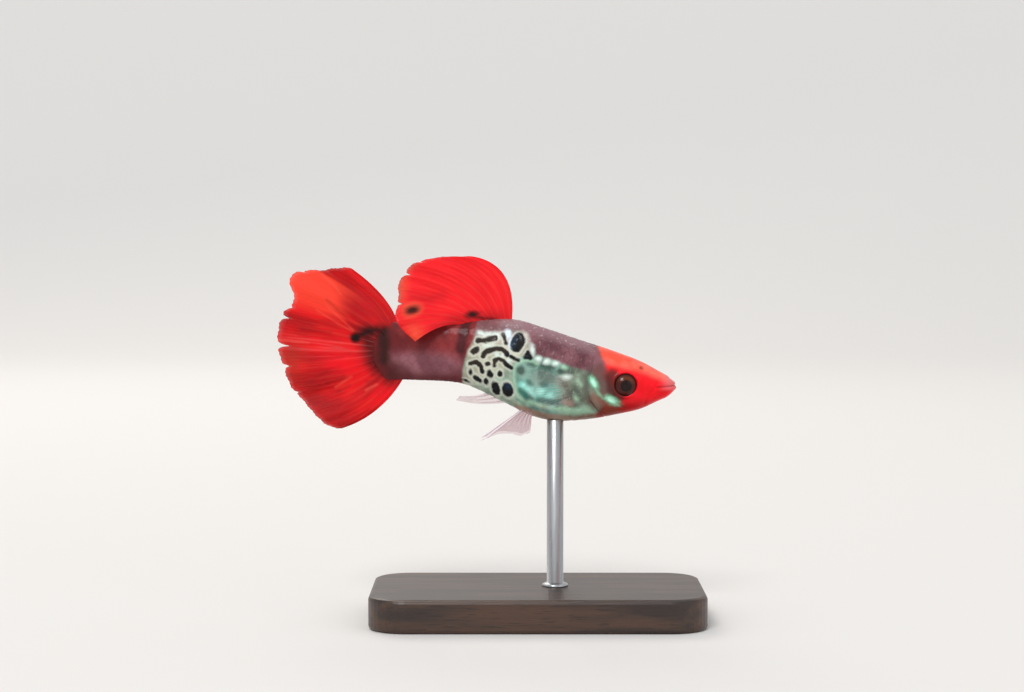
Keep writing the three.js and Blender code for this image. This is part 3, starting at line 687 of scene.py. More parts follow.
def outward(piece):
    """Turns every face outwards, by the sign of the whole volume."""
    mesh = piece.data
    mesh.calc_loop_triangles()
    corners = np.zeros(len(mesh.vertices) * 3)
    mesh.vertices.foreach_get("co", corners)
    corners = corners.reshape(-1, 3)
    picks = np.zeros(len(mesh.loop_triangles) * 3, int)
    mesh.loop_triangles.foreach_get("vertices", picks)
    a, b, c = (corners[picks.reshape(-1, 3)[:, k]] for k in range(3))
    if (a * np.cross(b, c)).sum() < 0:
        mesh.flip_normals()
    return piece


def triangle_count(piece):
    return sum(len(face.vertices) - 2 for face in piece.data.polygons)


# %% [markdown]
# ### Skin material
# The real surface is living skin: clear slime over thin scales, with pigment cells below them. It is a
# dielectric with the IOR of water-filled tissue, about 1.38, and it is wet, so a coat gives sharp highlights
# over a softer base. The turquoise and mint patches are stacks of crystal plates, which shine like metal.
# Red and black pigments are matte below the coat.

# %% Reading attributes and mixing


def attribute(tree, name, output="Fac"):
    return add_node(tree, "ShaderNodeAttribute", {"attribute_name": name}).outputs[output]


def mix_colour(tree, amount, low, high):
    """low where amount is 0 and high where it is 1. Each is a hex colour or a socket."""
    sides = [linear(side) if isinstance(side, str) else side for side in (low, high)]
    node = add_node(tree, "ShaderNodeMix", {"data_type": "RGBA"}, in0=amount, in6=sides[0], in7=sides[1])
    return node.outputs[2]


def calculate(tree, operation, *values, clamp=False):
    inputs = {f"in{k}": value for k, value in enumerate(values)}
    return add_node(tree, "ShaderNodeMath", {"operation": operation, "use_clamp": clamp}, **inputs).outputs[0]


def smooth_step(tree, value, low, high):
    """0 at low and 1 at high, smooth between. low may be the larger of the two."""
    node = add_node(tree, "ShaderNodeMapRange", {"interpolation_type": "SMOOTHSTEP"},
                    in0=value, in1=low, in2=high, in3=0.0, in4=1.0)
    return node.outputs[0]


def grain(tree, place, size, detail=2.0, stretch=(1, 1, 1), roughness=0.5):
    """Noise whose lumps are about size millimetres across, on places given in millimetres."""
    scaled_place = add_node(tree, "ShaderNodeVectorMath", {"operation": "MULTIPLY"}, in0=place,
                            in1=tuple(s / size for s in stretch)).outputs[0]
    return add_node(tree, "ShaderNodeTexNoise", Vector=scaled_place, Scale=1.0, Detail=detail,
                    Roughness=roughness).outputs[0]


def paint(tree, colour, layers):
    """Lays colours over one another. Each layer is a mask, how well it covers (0 to 1), and its colour."""
    for mask, cover, layer_colour in layers:
        colour = mix_colour(tree, calculate(tree, "MULTIPLY", mask, cover, clamp=True), colour, layer_colour)
    return colour


# %% Wet guppy skin


def wet_skin():
    material = start_material("wet_guppy_skin")
    tree = material.node_tree
    place = attribute(tree, "fish_place", "Vector")
    coarse = grain(tree, place, 1.6, 3.0)
    fine = grain(tree, place, 0.28, 3.0)
    blotch = smooth_step(tree, coarse, 0.36, 0.64)
    cloud = smooth_step(tree, grain(tree, place, 2.4, 1.0), 0.36, 0.64)
    freckles = smooth_step(tree, fine, 0.56, 0.7)
    off_middle = calculate(tree, "SUBTRACT", fine, 0.5)
    uneven = calculate(tree, "SUBTRACT", grain(tree, place, 0.6, 2.0), 0.5)
    wobble = calculate(tree, "MULTIPLY_ADD", uneven, 0.26, calculate(tree, "MULTIPLY", off_middle, 0.15))

    def zone(name, softness=0.35):
        """A zone whose rim is broken up by the grain of the skin."""
        rough_zone = calculate(tree, "MULTIPLY_ADD", off_middle, softness, attribute(tree, name))
        return smooth_step(tree, rough_zone, 0.06, 0.94)

    def mark(name, soft=0.1, grow=0.0):
        """1 inside a mark and 0 outside, with a slightly wavering edge."""
        distance_out = calculate(tree, "ADD", attribute(tree, name), wobble)
        return smooth_step(tree, distance_out, grow + soft, grow - soft)

    def both(*masks):
        """Where two masks both hold."""
        return calculate(tree, "MULTIPLY", *masks, clamp=True)

    def outside(mask):
        return calculate(tree, "SUBTRACT", 1.0, mask)

    # Back: brown-violet pigment seen through clear scales, darker along each scale's free edge, with painted
    # shade under the back fin
    net = smooth_step(tree, attribute(tree, "scale_edge"), 0.62, 1.0)
    back = paint(tree, mix_colour(tree, blotch, "#64383F", "#87585F"), [
        (net, 0.4, "#41232F"),
        (attribute(tree, "ridge_zone"), 0.8, mix_colour(tree, freckles, "#9A777D", "#D2C0C2")),
        # painted shade that the back fin casts on the back
        (attribute(tree, "saddle"), 0.8, mix_colour(tree, cloud, "#6A2A31", "#85444C")),
    ])

    # Tail stalk: maroon and half clear, with a painted violet sheen, a highlight, below its middle
    stalk = paint(tree, mix_colour(tree, cloud, "#68191C", "#8A2B2C"), [
        # painted violet sheen, a highlight on the stalk
        (attribute(tree, "stalk_sheen"), 0.8, mix_colour(tree, cloud, "#764750", "#90616B")),
        (net, 0.2, "#36121A"),
        (attribute(tree, "belly_zone"), 0.75, "#5C262B"),
        (attribute(tree, "stalk_bar"), 0.75, "#270C12"),
    ])
    colour = mix_colour(tree, zone("stalk_zone"), back, stalk)

    # Flank: crystal plates over grey green, brighter in patches, with dark and white spots
    flank = paint(tree, mix_colour(tree, blotch, "#587A6E", "#8FB4A6"), [
        (attribute(tree, "olive_zone"), 0.85, mix_colour(tree, blotch, "#5D6154", "#87907C")),
        (freckles, 0.25, "#A9CDBF"),
        (mark("aqua", 0.5, 0.1), 0.85, mix_colour(tree, blotch, "#62BEAC", "#8AE0D0")),
        (mark("aqua_core", 0.35, 0.05), 0.9, "#B6FFF0"),
        (mark("teal", 0.2), 0.85, "#2B6E63"),
        (mark("dark_green", 0.24), 0.85, "#34493F"),
        (mark("blush", 0.3), 0.6, "#BE9A90"),
        (zone("belly_zone"), 0.85, mix_colour(tree, blotch, "#946E5E", "#B08C78")),
        (mark("pale", 0.25), 0.85, "#B2DABB"),
    ])
    flank_here = both(zone("flank_zone"), outside(zone("stalk_zone")))
    colour = mix_colour(tree, flank_here, colour, flank)

    # Snakeskin: a cream net between black spots and broken bands, fading into the back at the top
    faded_top = calculate(tree, "MULTIPLY", zone("snake_top", 0.6), 0.85)
    net_here = both(zone("snake_zone", 0.5), outside(faded_top))
    cream = paint(tree, mix_colour(tree, blotch, "#A09E88", "#C6C4AC"), [
        (attribute(tree, "high_snake"), 0.7, mix_colour(tree, blotch, "#94848A", "#B9AAAD")),
        (attribute(tree, "low_snake"), 0.75, mix_colour(tree, blotch, "#7F9C8C", "#A6C4B2")),
    ])
    ink = both(mark("black"), outside(calculate(tree, "MULTIPLY", attribute(tree, "ink_fade"), 0.5)))
    colour = paint(tree, colour, [
        (net_here, 0.95, cream),
        (both(mark("black", 0.13, 0.15), net_here), 0.7, "#DDE0D2"),
        (mark("white", 0.22, 0.02), 0.9, "#E3F3EA"),
        (mark("glint", 0.16), 1.0, "#DCEBF8"),
        (ink, 1.0, mix_colour(tree, attribute(tree, "brown_ink"), "#08080B", "#2C231C")),
        # painted blue glint, a reflection on the black spots
        (both(ink, mark("blue_ink", 0.3)), 0.7, "#16344E"),
    ])

    # Head: scarlet, with a paler mouth. Painted light: a shadow behind the eye, light on top of the salmon
    # brow, and shade under the jaw, along the mouth line and in the nostrils
    red = paint(tree, mix_colour(tree, blotch, "#EE0A18", "#FF1424"), [
        # salmon tint of the brow, with painted light on top of the head
        (attribute(tree, "brow_zone"), 0.85, mix_colour(tree, blotch, "#FF5A42", "#FF7A64")),
        # painted shade on the lower head and jaw
        (attribute(tree, "jaw_zone"), 0.7, "#BE1A22"),
        (attribute(tree, "throat_zone"), 0.8, "#92271B"),
        (attribute(tree, "lip_zone"), 0.7, "#E27C80"),
        # painted shade in the parting of the lips
        (attribute(tree, "mouth_line"), 0.35, "#981C22"),
        # painted shade in the nostril pits
        (attribute(tree, "nostril_pit"), 0.6, "#8E2A16"),
    ])
    colour = paint(tree, colour, [
        (zone("red_zone"), 1.0, red),
        (zone("cheek"), 0.9, "#6E4643"),
        (zone("low_cheek"), 0.7, "#8E4838"),
        # painted shadow behind the eye
        (zone("dusk"), 0.85, "#522420"),
        (attribute(tree, "gill_shade"), 0.55, "#4A3F3B"),
        (mark("mint", 0.25, 0.12), 0.35, "#6A9E80"),
        (mark("mint", 0.2, 0.0), 0.9, "#8EDCB6"),
        # near-white core of each mint patch: painted highlight on the shiny plates
        (mark("mint", 0.14, -0.13), 1.0, mix_colour(tree, freckles, "#C6FFE6", "#F2FFFA")),
        (attribute(tree, "tail_low"), 0.7, "#501419"),
        (zone("tail_red"), 0.95, mix_colour(tree, cloud, "#8E141A", "#B0171D")),
        (mark("tail_maroon", 0.6), 0.88, "#470F10"),
        (mark("tail_band", 0.45), 0.95, "#2B0D09"),
    ])

    # Shine: crystal plates are a little metallic, pigments aren't
    shine = calculate(tree, "MAXIMUM", calculate(tree, "MULTIPLY", flank_here, 0.35),
                      calculate(tree, "MULTIPLY", mark("mint", 0.14), 0.15))
    shine = both(shine, outside(ink))
    rough = calculate(tree, "MULTIPLY_ADD", fine, 0.22, 0.3)
    rough = calculate(tree, "MULTIPLY_ADD", attribute(tree, "under_fin"), 0.25, rough)
    pores = add_node(tree, "ShaderNodeBump", Strength=0.2, Distance=0.00003, Height=fine)
    shader = add_node(tree, "ShaderNodeBsdfPrincipled", Base_Color=colour, Metallic=shine, Roughness=rough,
                      IOR=1.38, Specular_IOR_Level=0.25, Subsurface_Weight=0.07,
                      Subsurface_Radius=(0.6, 0.25, 0.18), Subsurface_Scale=0.0004, Coat_Weight=0.2,
                      Coat_Roughness=0.1, Coat_IOR=1.36, Normal=pores.outputs[0])
    add_node(tree, "ShaderNodeOutputMaterial", Surface=shader.outputs[0])
    return material


# %% The skin as a piece
brow_edge = along([(0, 0.1), (2, 0.55), (3, 0.85), (6, 1.2), (8, 1.5)], behind)
throat_edge = along([(3, 1.9), (7, 2.25)], behind)
off_gape = height - gape_height(behind)
below_ridge = height - along(BACK, np.minimum(behind, BODY_LENGTH))
masks = {**zones, **marks}
masks.update({
    "ridge_zone": ease(below_ridge, -1.3, -0.2) * ease(behind, 7, 8.5),
    # painted shade that the back fin casts on the back
    "saddle": ease(behind, 15.7, 16.9) * ease(height, 2.7, 3.4),
    "under_fin": ease(behind, 17.8, 19) * (1 - ease(behind, 22, 23.5)) * ease(height, 1.8, 2.6),
    # painted violet sheen, a highlight on the stalk
    "stalk_sheen": dent(from_oval(behind, height, (22.9, -0.75), (4.6, 1.3), -4), 0.75),
    "brown_ink": ease(height, -0.6, 0.4) * ease(behind, 15.3, 15.7),
    "ink_fade": snake_top * ease(behind, 15.4, 16.0),
    "high_snake": ease(height, 1.5, 3.0),
    "low_snake": ease(-height - 0.6 * (behind - 16), -0.4, 1.4),
    # salmon tint of the brow, with painted light on top of the head
    "brow_zone": ease(height - brow_edge, -0.3, 0.5),
    "throat_zone": ease(behind, 3.6, 5.2) * ease(-height - throat_edge, -0.3, 0.3),
    # painted shade on the lower head and jaw
    "jaw_zone": ease(-height, 0.9, 2.3),
    "lip_zone": (1 - ease(behind, 0.5, 1.7)) * ease(off_gape, -0.5, -0.1),
    # painted shade in the nostril pits
    "nostril_pit": dent(nearest_nostril - 0.1, 0.12),
    # painted shade in the parting of the lips
    "mouth_line": dent(np.abs(off_gape) - 0.02, 0.05) * ease(MOUTH["corner"] - behind, 0, 0.5),
    "scale_edge": scale_edge * ease(behind, 6.6, 8.2),
    "fish_place": np.stack([behind, aside, height], axis=-1),
})
skin_points = flesh + normals * relief[..., None]
skin_points = in_scene(-skin_points[..., 0], skin_points[..., 1], skin_points[..., 2])
snout_cap = skin_points[0].mean(axis=0)
tail_cap = skin_points[-1].mean(axis=0)
skin = outward(grid_object("guppy_skin", skin_points, wet_skin(), wrap=True, caps=[snout_cap, tail_cap],
                           attributes=masks))
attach(skin, "root")
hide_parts("head", "lower_jaw", "gill_cover_right", "gill_cover_left", "trunk", "tail_stalk")
print("skin:", triangle_count(skin), "triangles")

# %% [markdown]
# ## Eyes
# A guppy's eye is a flattened ball set nearly flush in the head. A dark iris with a thin copper ring
# surrounds a black pupil, under a clear cornea. Here each eye is a ball whose own colours come from how far
# a point lies from the line of sight, and a very smooth coat stands for the cornea.

# %% Eye material


def wet_eye():
    material = start_material("wet_cornea_over_iris")
    tree = material.node_tree
    ring = attribute(tree, "from_sight")
    spokes = grain(tree, attribute(tree, "eye_place", "Vector"), 0.12, 3.0)
    thin_ring = calculate(tree, "MULTIPLY", smooth_step(tree, ring, 0.5, 0.46),
                          smooth_step(tree, ring, 0.4, 0.44))
    colour = paint(tree, mix_colour(tree, spokes, "#380E09", "#541A10"), [
        (attribute(tree, "eye_up"), 0.75, mix_colour(tree, spokes, "#5E2812", "#7A401E")),
        (thin_ring, 0.25, "#8A4A28"),
        (smooth_step(tree, ring, 0.6, 0.84), 0.9, "#240B08"),
        (smooth_step(tree, ring, 0.54, 0.38), 0.94, "#160606"),
    ])
    shader = add_node(tree, "ShaderNodeBsdfPrincipled", Base_Color=colour, Roughness=0.3, IOR=1.38,
                      Specular_IOR_Level=0.1, Coat_Weight=0.6, Coat_Roughness=0.02, Coat_IOR=1.36)
    add_node(tree, "ShaderNodeOutputMaterial", Surface=shader.outputs[0])
    return material


# %% Eyeballs
EYE_RINGS, EYE_SPOKES = 48, 72
CORNEA_BULGE = 0.07
eye_finish = wet_eye()
for name, eye in eyes.items():
    out = eye["out"]
    sideways = np.cross(out, [0, 0, 1.0])
    sideways /= np.linalg.norm(sideways)
    upwards = np.cross(sideways, out)
    from_pole = np.linspace(0.01, math.pi - 0.01, EYE_RINGS)[:, None]
    round_eye = np.linspace(0, 2 * math.pi, EYE_SPOKES, endpoint=False)[None, :]
    across_eye = EYE["radius"] * np.sin(from_pole)
    bulge = CORNEA_BULGE * np.exp(-(np.sin(from_pole) / 0.62) ** 4) * (from_pole < math.pi / 2)
    depth = EYE["depth"] * np.cos(from_pole) + bulge
    ball = (eye["centre"] + out * (depth * np.ones_like(round_eye))[..., None]
            + sideways * (across_eye * np.cos(round_eye))[..., None]
            + upwards * (across_eye * np.sin(round_eye))[..., None])
    sight = np.where(from_pole < math.pi / 2, np.sin(from_pole), 1.2) * np.ones_like(round_eye)
    spoke_place = np.stack([np.cos(round_eye) * sight, np.sin(round_eye) * sight, sight * 0.2], -1)
    points = in_scene(-ball[..., 0], ball[..., 1], ball[..., 2])
    eyeball = outward(grid_object("eyeball_" + name, points, eye_finish, wrap=True,
                                  caps=[points[0].mean(axis=0), points[-1].mean(axis=0)],
                                  attributes={"from_sight": sight, "eye_place": spoke_place,
                                              "eye_up": ease(np.sin(round_eye) * sight, 0.05, 0.6)}))
    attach(eyeball, "root")
    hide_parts("eye_" + name)
print("eyes made:", len(eyes))

# %% [markdown]
# ## Fins
# A fin is a skin web a few hundredths of a millimetre thick, held open by bony rays that fork towards the
# margin. Each is made as a thin closed sheet: a middle surface, pushed out to both sides, thicker along each
# ray. The margin is ragged, as on many grown males, because rays outgrow the web and the web tears.

# %% Fin shapes


def bend(root, by, tip, share):
    """A ray from root to tip that bends by way of a third point."""
    rest = 1 - share
    return [r * rest ** 2 + 2 * b * rest * share + t * share ** 2 for r, b, t in zip(root, by, tip)]


def on_ray(over, rays):
    return 0.5 - 0.5 * np.cos(2 * math.pi * rays * over)


DORSAL = {
    "rays": 10, "from": 15.3, "to": 19.1, "sunk": 0.5, "ripple": 0.22,
    "bend_behind": [(0, 15.2), (0.3, 18.1), (0.6, 20.1), (1, 21.4)],
    "bend_height": [(0, 9.4), (0.3, 8.3), (0.6, 6.3), (1, 3.7)],
    "tip_behind": [(0, 19.7), (0.15, 22.2), (0.3, 24.2), (0.45, 25.2), (0.6, 25.7), (0.75, 25.75),
                   (0.88, 25.6), (1, 23.7)],
    "tip_height": [(0, 9.5), (0.15, 9.2), (0.3, 8.5), (0.45, 7.7), (0.6, 6.4), (0.75, 4.8),
                   (0.88, 3.0), (1, 1.4)],
    "lean": [(0, 0.5), (0.5, 1.4), (1, 2.5)],
}


def dorsal_middle(out, over):
    root_behind = DORSAL["from"] + (DORSAL["to"] - DORSAL["from"]) * over
    root = (root_behind, sway(root_behind), along(BACK, root_behind) - DORSAL["sunk"])
    by_behind = along(DORSAL["bend_behind"], over)
    by = (by_behind, sway(by_behind), along(DORSAL["bend_height"], over))
    tip_behind = along(DORSAL["tip_behind"], over)
    tip = (tip_behind, sway(tip_behind), along(DORSAL["tip_height"], over))
    b, a, h = bend(root, by, tip, out)
    clear = np.maximum(out, 0)
    ripple = DORSAL["ripple"] * np.sin(over * 4.2 * math.pi) * clear ** 1.5
    return b, a + ripple - along(DORSAL["lean"], over) * clear ** 0.9, h


CAUDAL = {
    "rays": 18, "hub": (25, 0.4), "upper": math.radians(52), "lower": math.radians(-60),
    "root_bow": [(0, 1.5), (0.6, 1.5), (1, 1.75)], "bend_bow": [(0, 1.5), (0.6, 1.5), (1, 1.38)],
    "bend_reach": [(0, 0.5), (0.6, 0.5), (1, 0.66)],
    "root_reach": [(0, 2.0), (0.25, 1.5), (0.5, 1.4), (0.75, 1.6), (1, 2.4)],
    "reach": [(0, 8.6), (0.12, 10.2), (0.22, 11.9), (0.305, 10.7), (0.38, 11.4), (0.5, 11.3), (0.62, 10.7),
              (0.73, 10.4), (0.83, 9.9), (0.93, 9.6), (1, 8.9)],
    "ripple": 0.5, "ripples": 3.1, "sweep": 1.0,
}


def from_hub(angle, reach):
    return CAUDAL["hub"][0] + reach * np.cos(angle), 0, CAUDAL["hub"][1] + reach * np.sin(angle)


def caudal_middle(out, over):
    angle = CAUDAL["upper"] + (CAUDAL["lower"] - CAUDAL["upper"]) * over
    reach = along(CAUDAL["reach"], over)
    root = from_hub(angle * along(CAUDAL["root_bow"], over), along(CAUDAL["root_reach"], over))
    by = from_hub(angle * along(CAUDAL["bend_bow"], over), reach * along(CAUDAL["bend_reach"], over))
    b, _, h = bend(root, by, from_hub(angle, reach), out)
    clear = np.maximum(out, 0)
    wave = CAUDAL["ripple"] * np.cos((over - 0.11) * CAUDAL["ripples"] * 2 * math.pi) * clear ** 1.2
    return b, float(sway(BODY_LENGTH)) + CAUDAL["sweep"] * clear + wave, h


ANAL = {"rays": 3, "root": ((14.3, -3.1), (16.3, -2.2)), "tip": ((19.5, -3.55), (19.2, -3.1)), "sag": 0.25}


def anal_middle(out, over):
    (root_a, root_b), (tip_a, tip_b) = ANAL["root"], ANAL["tip"]
    root = [root_a[k] + (root_b[k] - root_a[k]) * over for k in (0, 1)]
    tip = [tip_a[k] + (tip_b[k] - tip_a[k]) * over for k in (0, 1)]
    b, h = (root[k] + (tip[k] - root[k]) * out for k in (0, 1))
    return b, sway(b), h - ANAL["sag"] * np.sin(np.clip(out, 0, 1) * math.pi)


PELVIC = {
    "rays": 6, "from": 12.5, "to": 13.5, "height": -3.7, "aside": 0.55, "spread": 0.8,
    "tip_behind": [(0, 12.55), (0.25, 13.3), (0.5, 14.2), (0.78, 15.3), (1, 17.0)],
    "tip_height": [(0, -5.6), (0.25, -5.95), (0.5, -5.9), (0.78, -6.05), (1, -6.9)],
}
PECTORAL = {
    "rays": 8, "behind": 8.7, "upper": -0.5, "lower": -1.7, "sunk": 0.4,
    "tip_behind": [(0, 12.6), (0.35, 13.5), (0.7, 13.0), (1, 11.4)],
    "tip_height": [(0, 0.4), (0.35, -1.0), (0.7, -2.5), (1, -3.4)],
    "tip_aside": [(0, 3.6), (0.5, 4.0), (1, 3.5)],
}


def pelvic_middle(side):
    def middle(out, over):
        root = PELVIC["from"] + (PELVIC["to"] - PELVIC["from"]) * over
        b = root + (along(PELVIC["tip_behind"], over) - root) * out
        h = PELVIC["height"] + (along(PELVIC["tip_height"], over) - PELVIC["height"]) * out
        return b, sway(b) + side * (PELVIC["aside"] + PELVIC["spread"] * out), h
    return middle


def pectoral_middle(side):
    def middle(out, over):
        root_height = PECTORAL["upper"] + (PECTORAL["lower"] - PECTORAL["upper"]) * over
        root_aside = float(along(HALF_WIDTH, PECTORAL["behind"])) - PECTORAL["sunk"]
        b = PECTORAL["behind"] + (along(PECTORAL["tip_behind"], over) - PECTORAL["behind"]) * out
        a = root_aside + (along(PECTORAL["tip_aside"], over) - root_aside) * out
        h = root_height + (along(PECTORAL["tip_height"], over) - root_height) * out
        return b, sway(b) + side * a, h
    return middle


# %% A fin as a thin sheet with forking rays
chance = np.random.default_rng(7)


def ragged(over, rays, lobes, fringe, tears):
    """How far out the web reaches across the fin, as a share of the full reach."""
    knots = np.linspace(0, 1, rays + 1)
    reach = 1.01 - lobes * along(list(zip(knots, chance.uniform(0, 1, rays + 1))), over)
    reach -= fringe * (0.6 * (1 - on_ray(over, rays)) + 0.4 * (1 - on_ray(over, 3 * rays)))
    for _ in range(tears):
        at, deep, wide = chance.uniform(0.04, 0.96), chance.uniform(0.02, 0.06), chance.uniform(0.003, 0.008)
        reach -= deep * np.exp(-np.abs(over - at) / wide)
    return reach


# Cycles across the fin, share of the height, lean and start of each wave of folds.
FOLD_WAVES = ((6.5, 0.5, 1, 0.4), (11, 0.35, -1, 2.1), (19, 0.15, 1, 4.0))


def crinkles(over, reached, height):
    """Fine folds of the web that run out along the rays, as a height to one side in millimetres."""
    waves = sum(share * np.sin(2 * math.pi * (cycles * over + 0.35 * reached * lean) + start)
                for cycles, share, lean, start in FOLD_WAVES)
    return height * waves * ease(reached, 0.25, 0.8)


def fin_piece(name, middle, grid, rays, material, web=0.05, root=0.3, ridge=0.05, lobes=0.03,
              fringe=0.015, tears=4, crinkle=0.0, forks=(0.45, 0.75), colour_marks=()):
    """A fin as a closed thin sheet. web, root, ridge and crinkle are in millimetres."""
    rows, columns = grid
    over, out = np.meshgrid(np.linspace(0, 1, columns + 1), np.linspace(0, 1, rows + 1))
    reached = out * ragged(over, rays, lobes, fringe, tears)
    step = 0.002
    centre = np.stack(middle(reached, over), -1)
    along_ray = np.stack(middle(reached + step, over), -1) - np.stack(middle(reached - step, over), -1)
    across = np.stack(middle(reached, over + step), -1) - np.stack(middle(reached, over - step), -1)
    facing = np.cross(along_ray, across)
    facing /= np.linalg.norm(facing, axis=-1, keepdims=True) + 1e-12
    centre = centre + facing * crinkles(over, reached, crinkle)[..., None]
    first_fork = ease(reached, forks[0], forks[0] + 0.18)
    second_fork = ease(reached, forks[1], forks[1] + 0.12)
    ray = on_ray(over, rays) ** 3 * (1 - first_fork)
    ray += 0.75 * on_ray(over + 0.25 / rays, 2 * rays) ** 3 * first_fork * (1 - second_fork)
    ray += 0.55 * on_ray(over + 0.125 / rays, 4 * rays) ** 3 * second_fork
    joints = 1 - 0.25 * (0.5 + 0.5 * np.cos(2 * math.pi * reached * 26)) * ease(reached, 0.2, 0.4)
    half = web / 2 + (root - web) / 2 * np.exp(-(reached / 0.16) ** 2) + ridge * ray * joints
    half *= 1 - 0.55 * ease(out, 0.85, 1.0)
    sheets = [centre + facing * half[..., None] * way for way in (1, -1)]
    sheets = [in_scene(sheet[..., 0], sheet[..., 1], sheet[..., 2]) for sheet in sheets]
    fields = {"out": reached, "over": over, "ray": ray, "to_margin": 1 - out,
              "fin_place": np.stack([over, reached, np.zeros_like(over)], -1)}
    for key, _, _, _, *shapes in colour_marks:
        fields[key] = nearest_mark(centre[..., 0], centre[..., 2], *shapes)
    piece = outward(grid_object(name, sheets[0], material, attributes=fields, second_sheet=sheets[1]))
    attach(piece, "root")
    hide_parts(name.replace("_web", ""))
    print(name, triangle_count(piece), "triangles")


# %% [markdown]
# ### Fin materials
# The big fins are living skin full of red and orange pigment, so thin that light comes through. A surface
# shader reflects, a translucent one lets the light from behind through, and the two are mixed. At the ragged
# margin the pigment thins and the web turns partly clear. The small fins have hardly any pigment: mostly
# their rays show.

# %% Colour marks of the big fins
# Each mark: name, colour, how well it covers, softness of its edge in millimetres, ovals, strokes.
DORSAL_MARKS = [
    ("rear_glow", "#FF7048", 0.55, 0.9, [(seen(417, 335), (1.6, 1.2), 60)],
     [([seen(406, 266), seen(402, 282), seen(402, 296)], 0.3)]),
    ("rear_margin", "#D2552F", 0.6, 0.7, [],
     [([seen(400, 300), seen(399, 284), seen(404, 270), seen(414, 262)], 0.5)]),
    ("rear_shade", "#C8141C", 0.5, 0.6, [], [([seen(412, 297), seen(427, 300), seen(442, 295)], 0.5)]),
    ("spot_rim", "#FF6A4C", 0.6, 0.3, [(seen(412.5, 309.5), (1.9, 1.35), 158)], []),
    ("margin_spot", "#2C120C", 0.95, 0.24, [(seen(412.8, 309.6), (1.25, 0.7), 158)], []),
    ("base_shade", "#B00F18", 0.6, 0.7, [],
     [([seen(500, 316), seen(476, 318), seen(452, 322), seen(438, 330)], 0.7)]),
    ("base_spot", "#1B0A0A", 0.95, 0.22, [(seen(472.5, 314.2), (1.2, 0.6), 165)],
     [([seen(474, 316.5), seen(484, 318), seen(496, 319)], 0.16)]),
]
CAUDAL_MARKS = [
    ("upper_shade", "#C00E1A", 0.6, 0.9, [(seen(362, 303), (4.6, 2.2), 40)], []),
    ("lower_bright", "#FF1628", 0.7, 0.9,
     [(seen(342, 364), (4.2, 1.6), 0), (seen(386, 396), (1.8, 1.8), 0)], []),
    ("lower_shade", "#A8121A", 0.55, 1.0, [(seen(334, 412), (4.5, 1.6), 30)], []),
    # painted shade on the low rear of the tail fin
    ("rear_dusk", "#98201F", 0.6, 1.0, [(seen(309, 402), (3.0, 1.6), 40)], []),
    ("rear_wash", "#B43A28", 0.6, 1.2, [(seen(288, 362), (2.2, 2.6), 0)], []),
    # painted shade in the creases of the folded fin
    ("creases", "#8C0A12", 0.4, 0.26, [],
     [([seen(326, 384.5), seen(335, 381), seen(343, 377.5)], 0.2), ([seen(335.5, 394),
                                                                     seen(348, 387)], 0.14),
      ([seen(309, 360.5), seen(342, 358)], 0.1), ([seen(303, 386), seen(326, 372.5)], 0.1),
      ([seen(366, 383), seen(376, 381.5)], 0.26),
      ([seen(300, 330), seen(330, 333)], 0.08), ([seen(326, 300), seen(345, 318), seen(354, 328)], 0.12)]),
    ("folds_lit", "#FF6C58", 0.5, 0.16, [],
     [([seen(326, 306.5), seen(353, 331.5)], 0.06), ([seen(319.6, 274.5), seen(331, 284),
                                                      seen(340, 295)], 0.09),
      ([seen(315.6, 310.6), seen(337, 324), seen(352, 332)], 0.06), ([seen(334, 388.5),
                                                                      seen(350.5, 377.5)], 0.14),
      ([seen(276, 341.5), seen(307.5, 344)], 0.1), ([seen(365, 391), seen(376, 385.5)], 0.18)]),
    ("root_maroon", "#4C0F11", 0.85, 0.7, [], TAIL_MAROON_STROKES),
    ("root_dark", "#220A09", 0.95, 0.45, [], TAIL_BAND_STROKES),
    ("root_spot", "#140707", 0.96, 0.2, [(seen(354.4, 338.8), (0.85, 0.75), 0)], []),
]

# %% Scarlet fin web


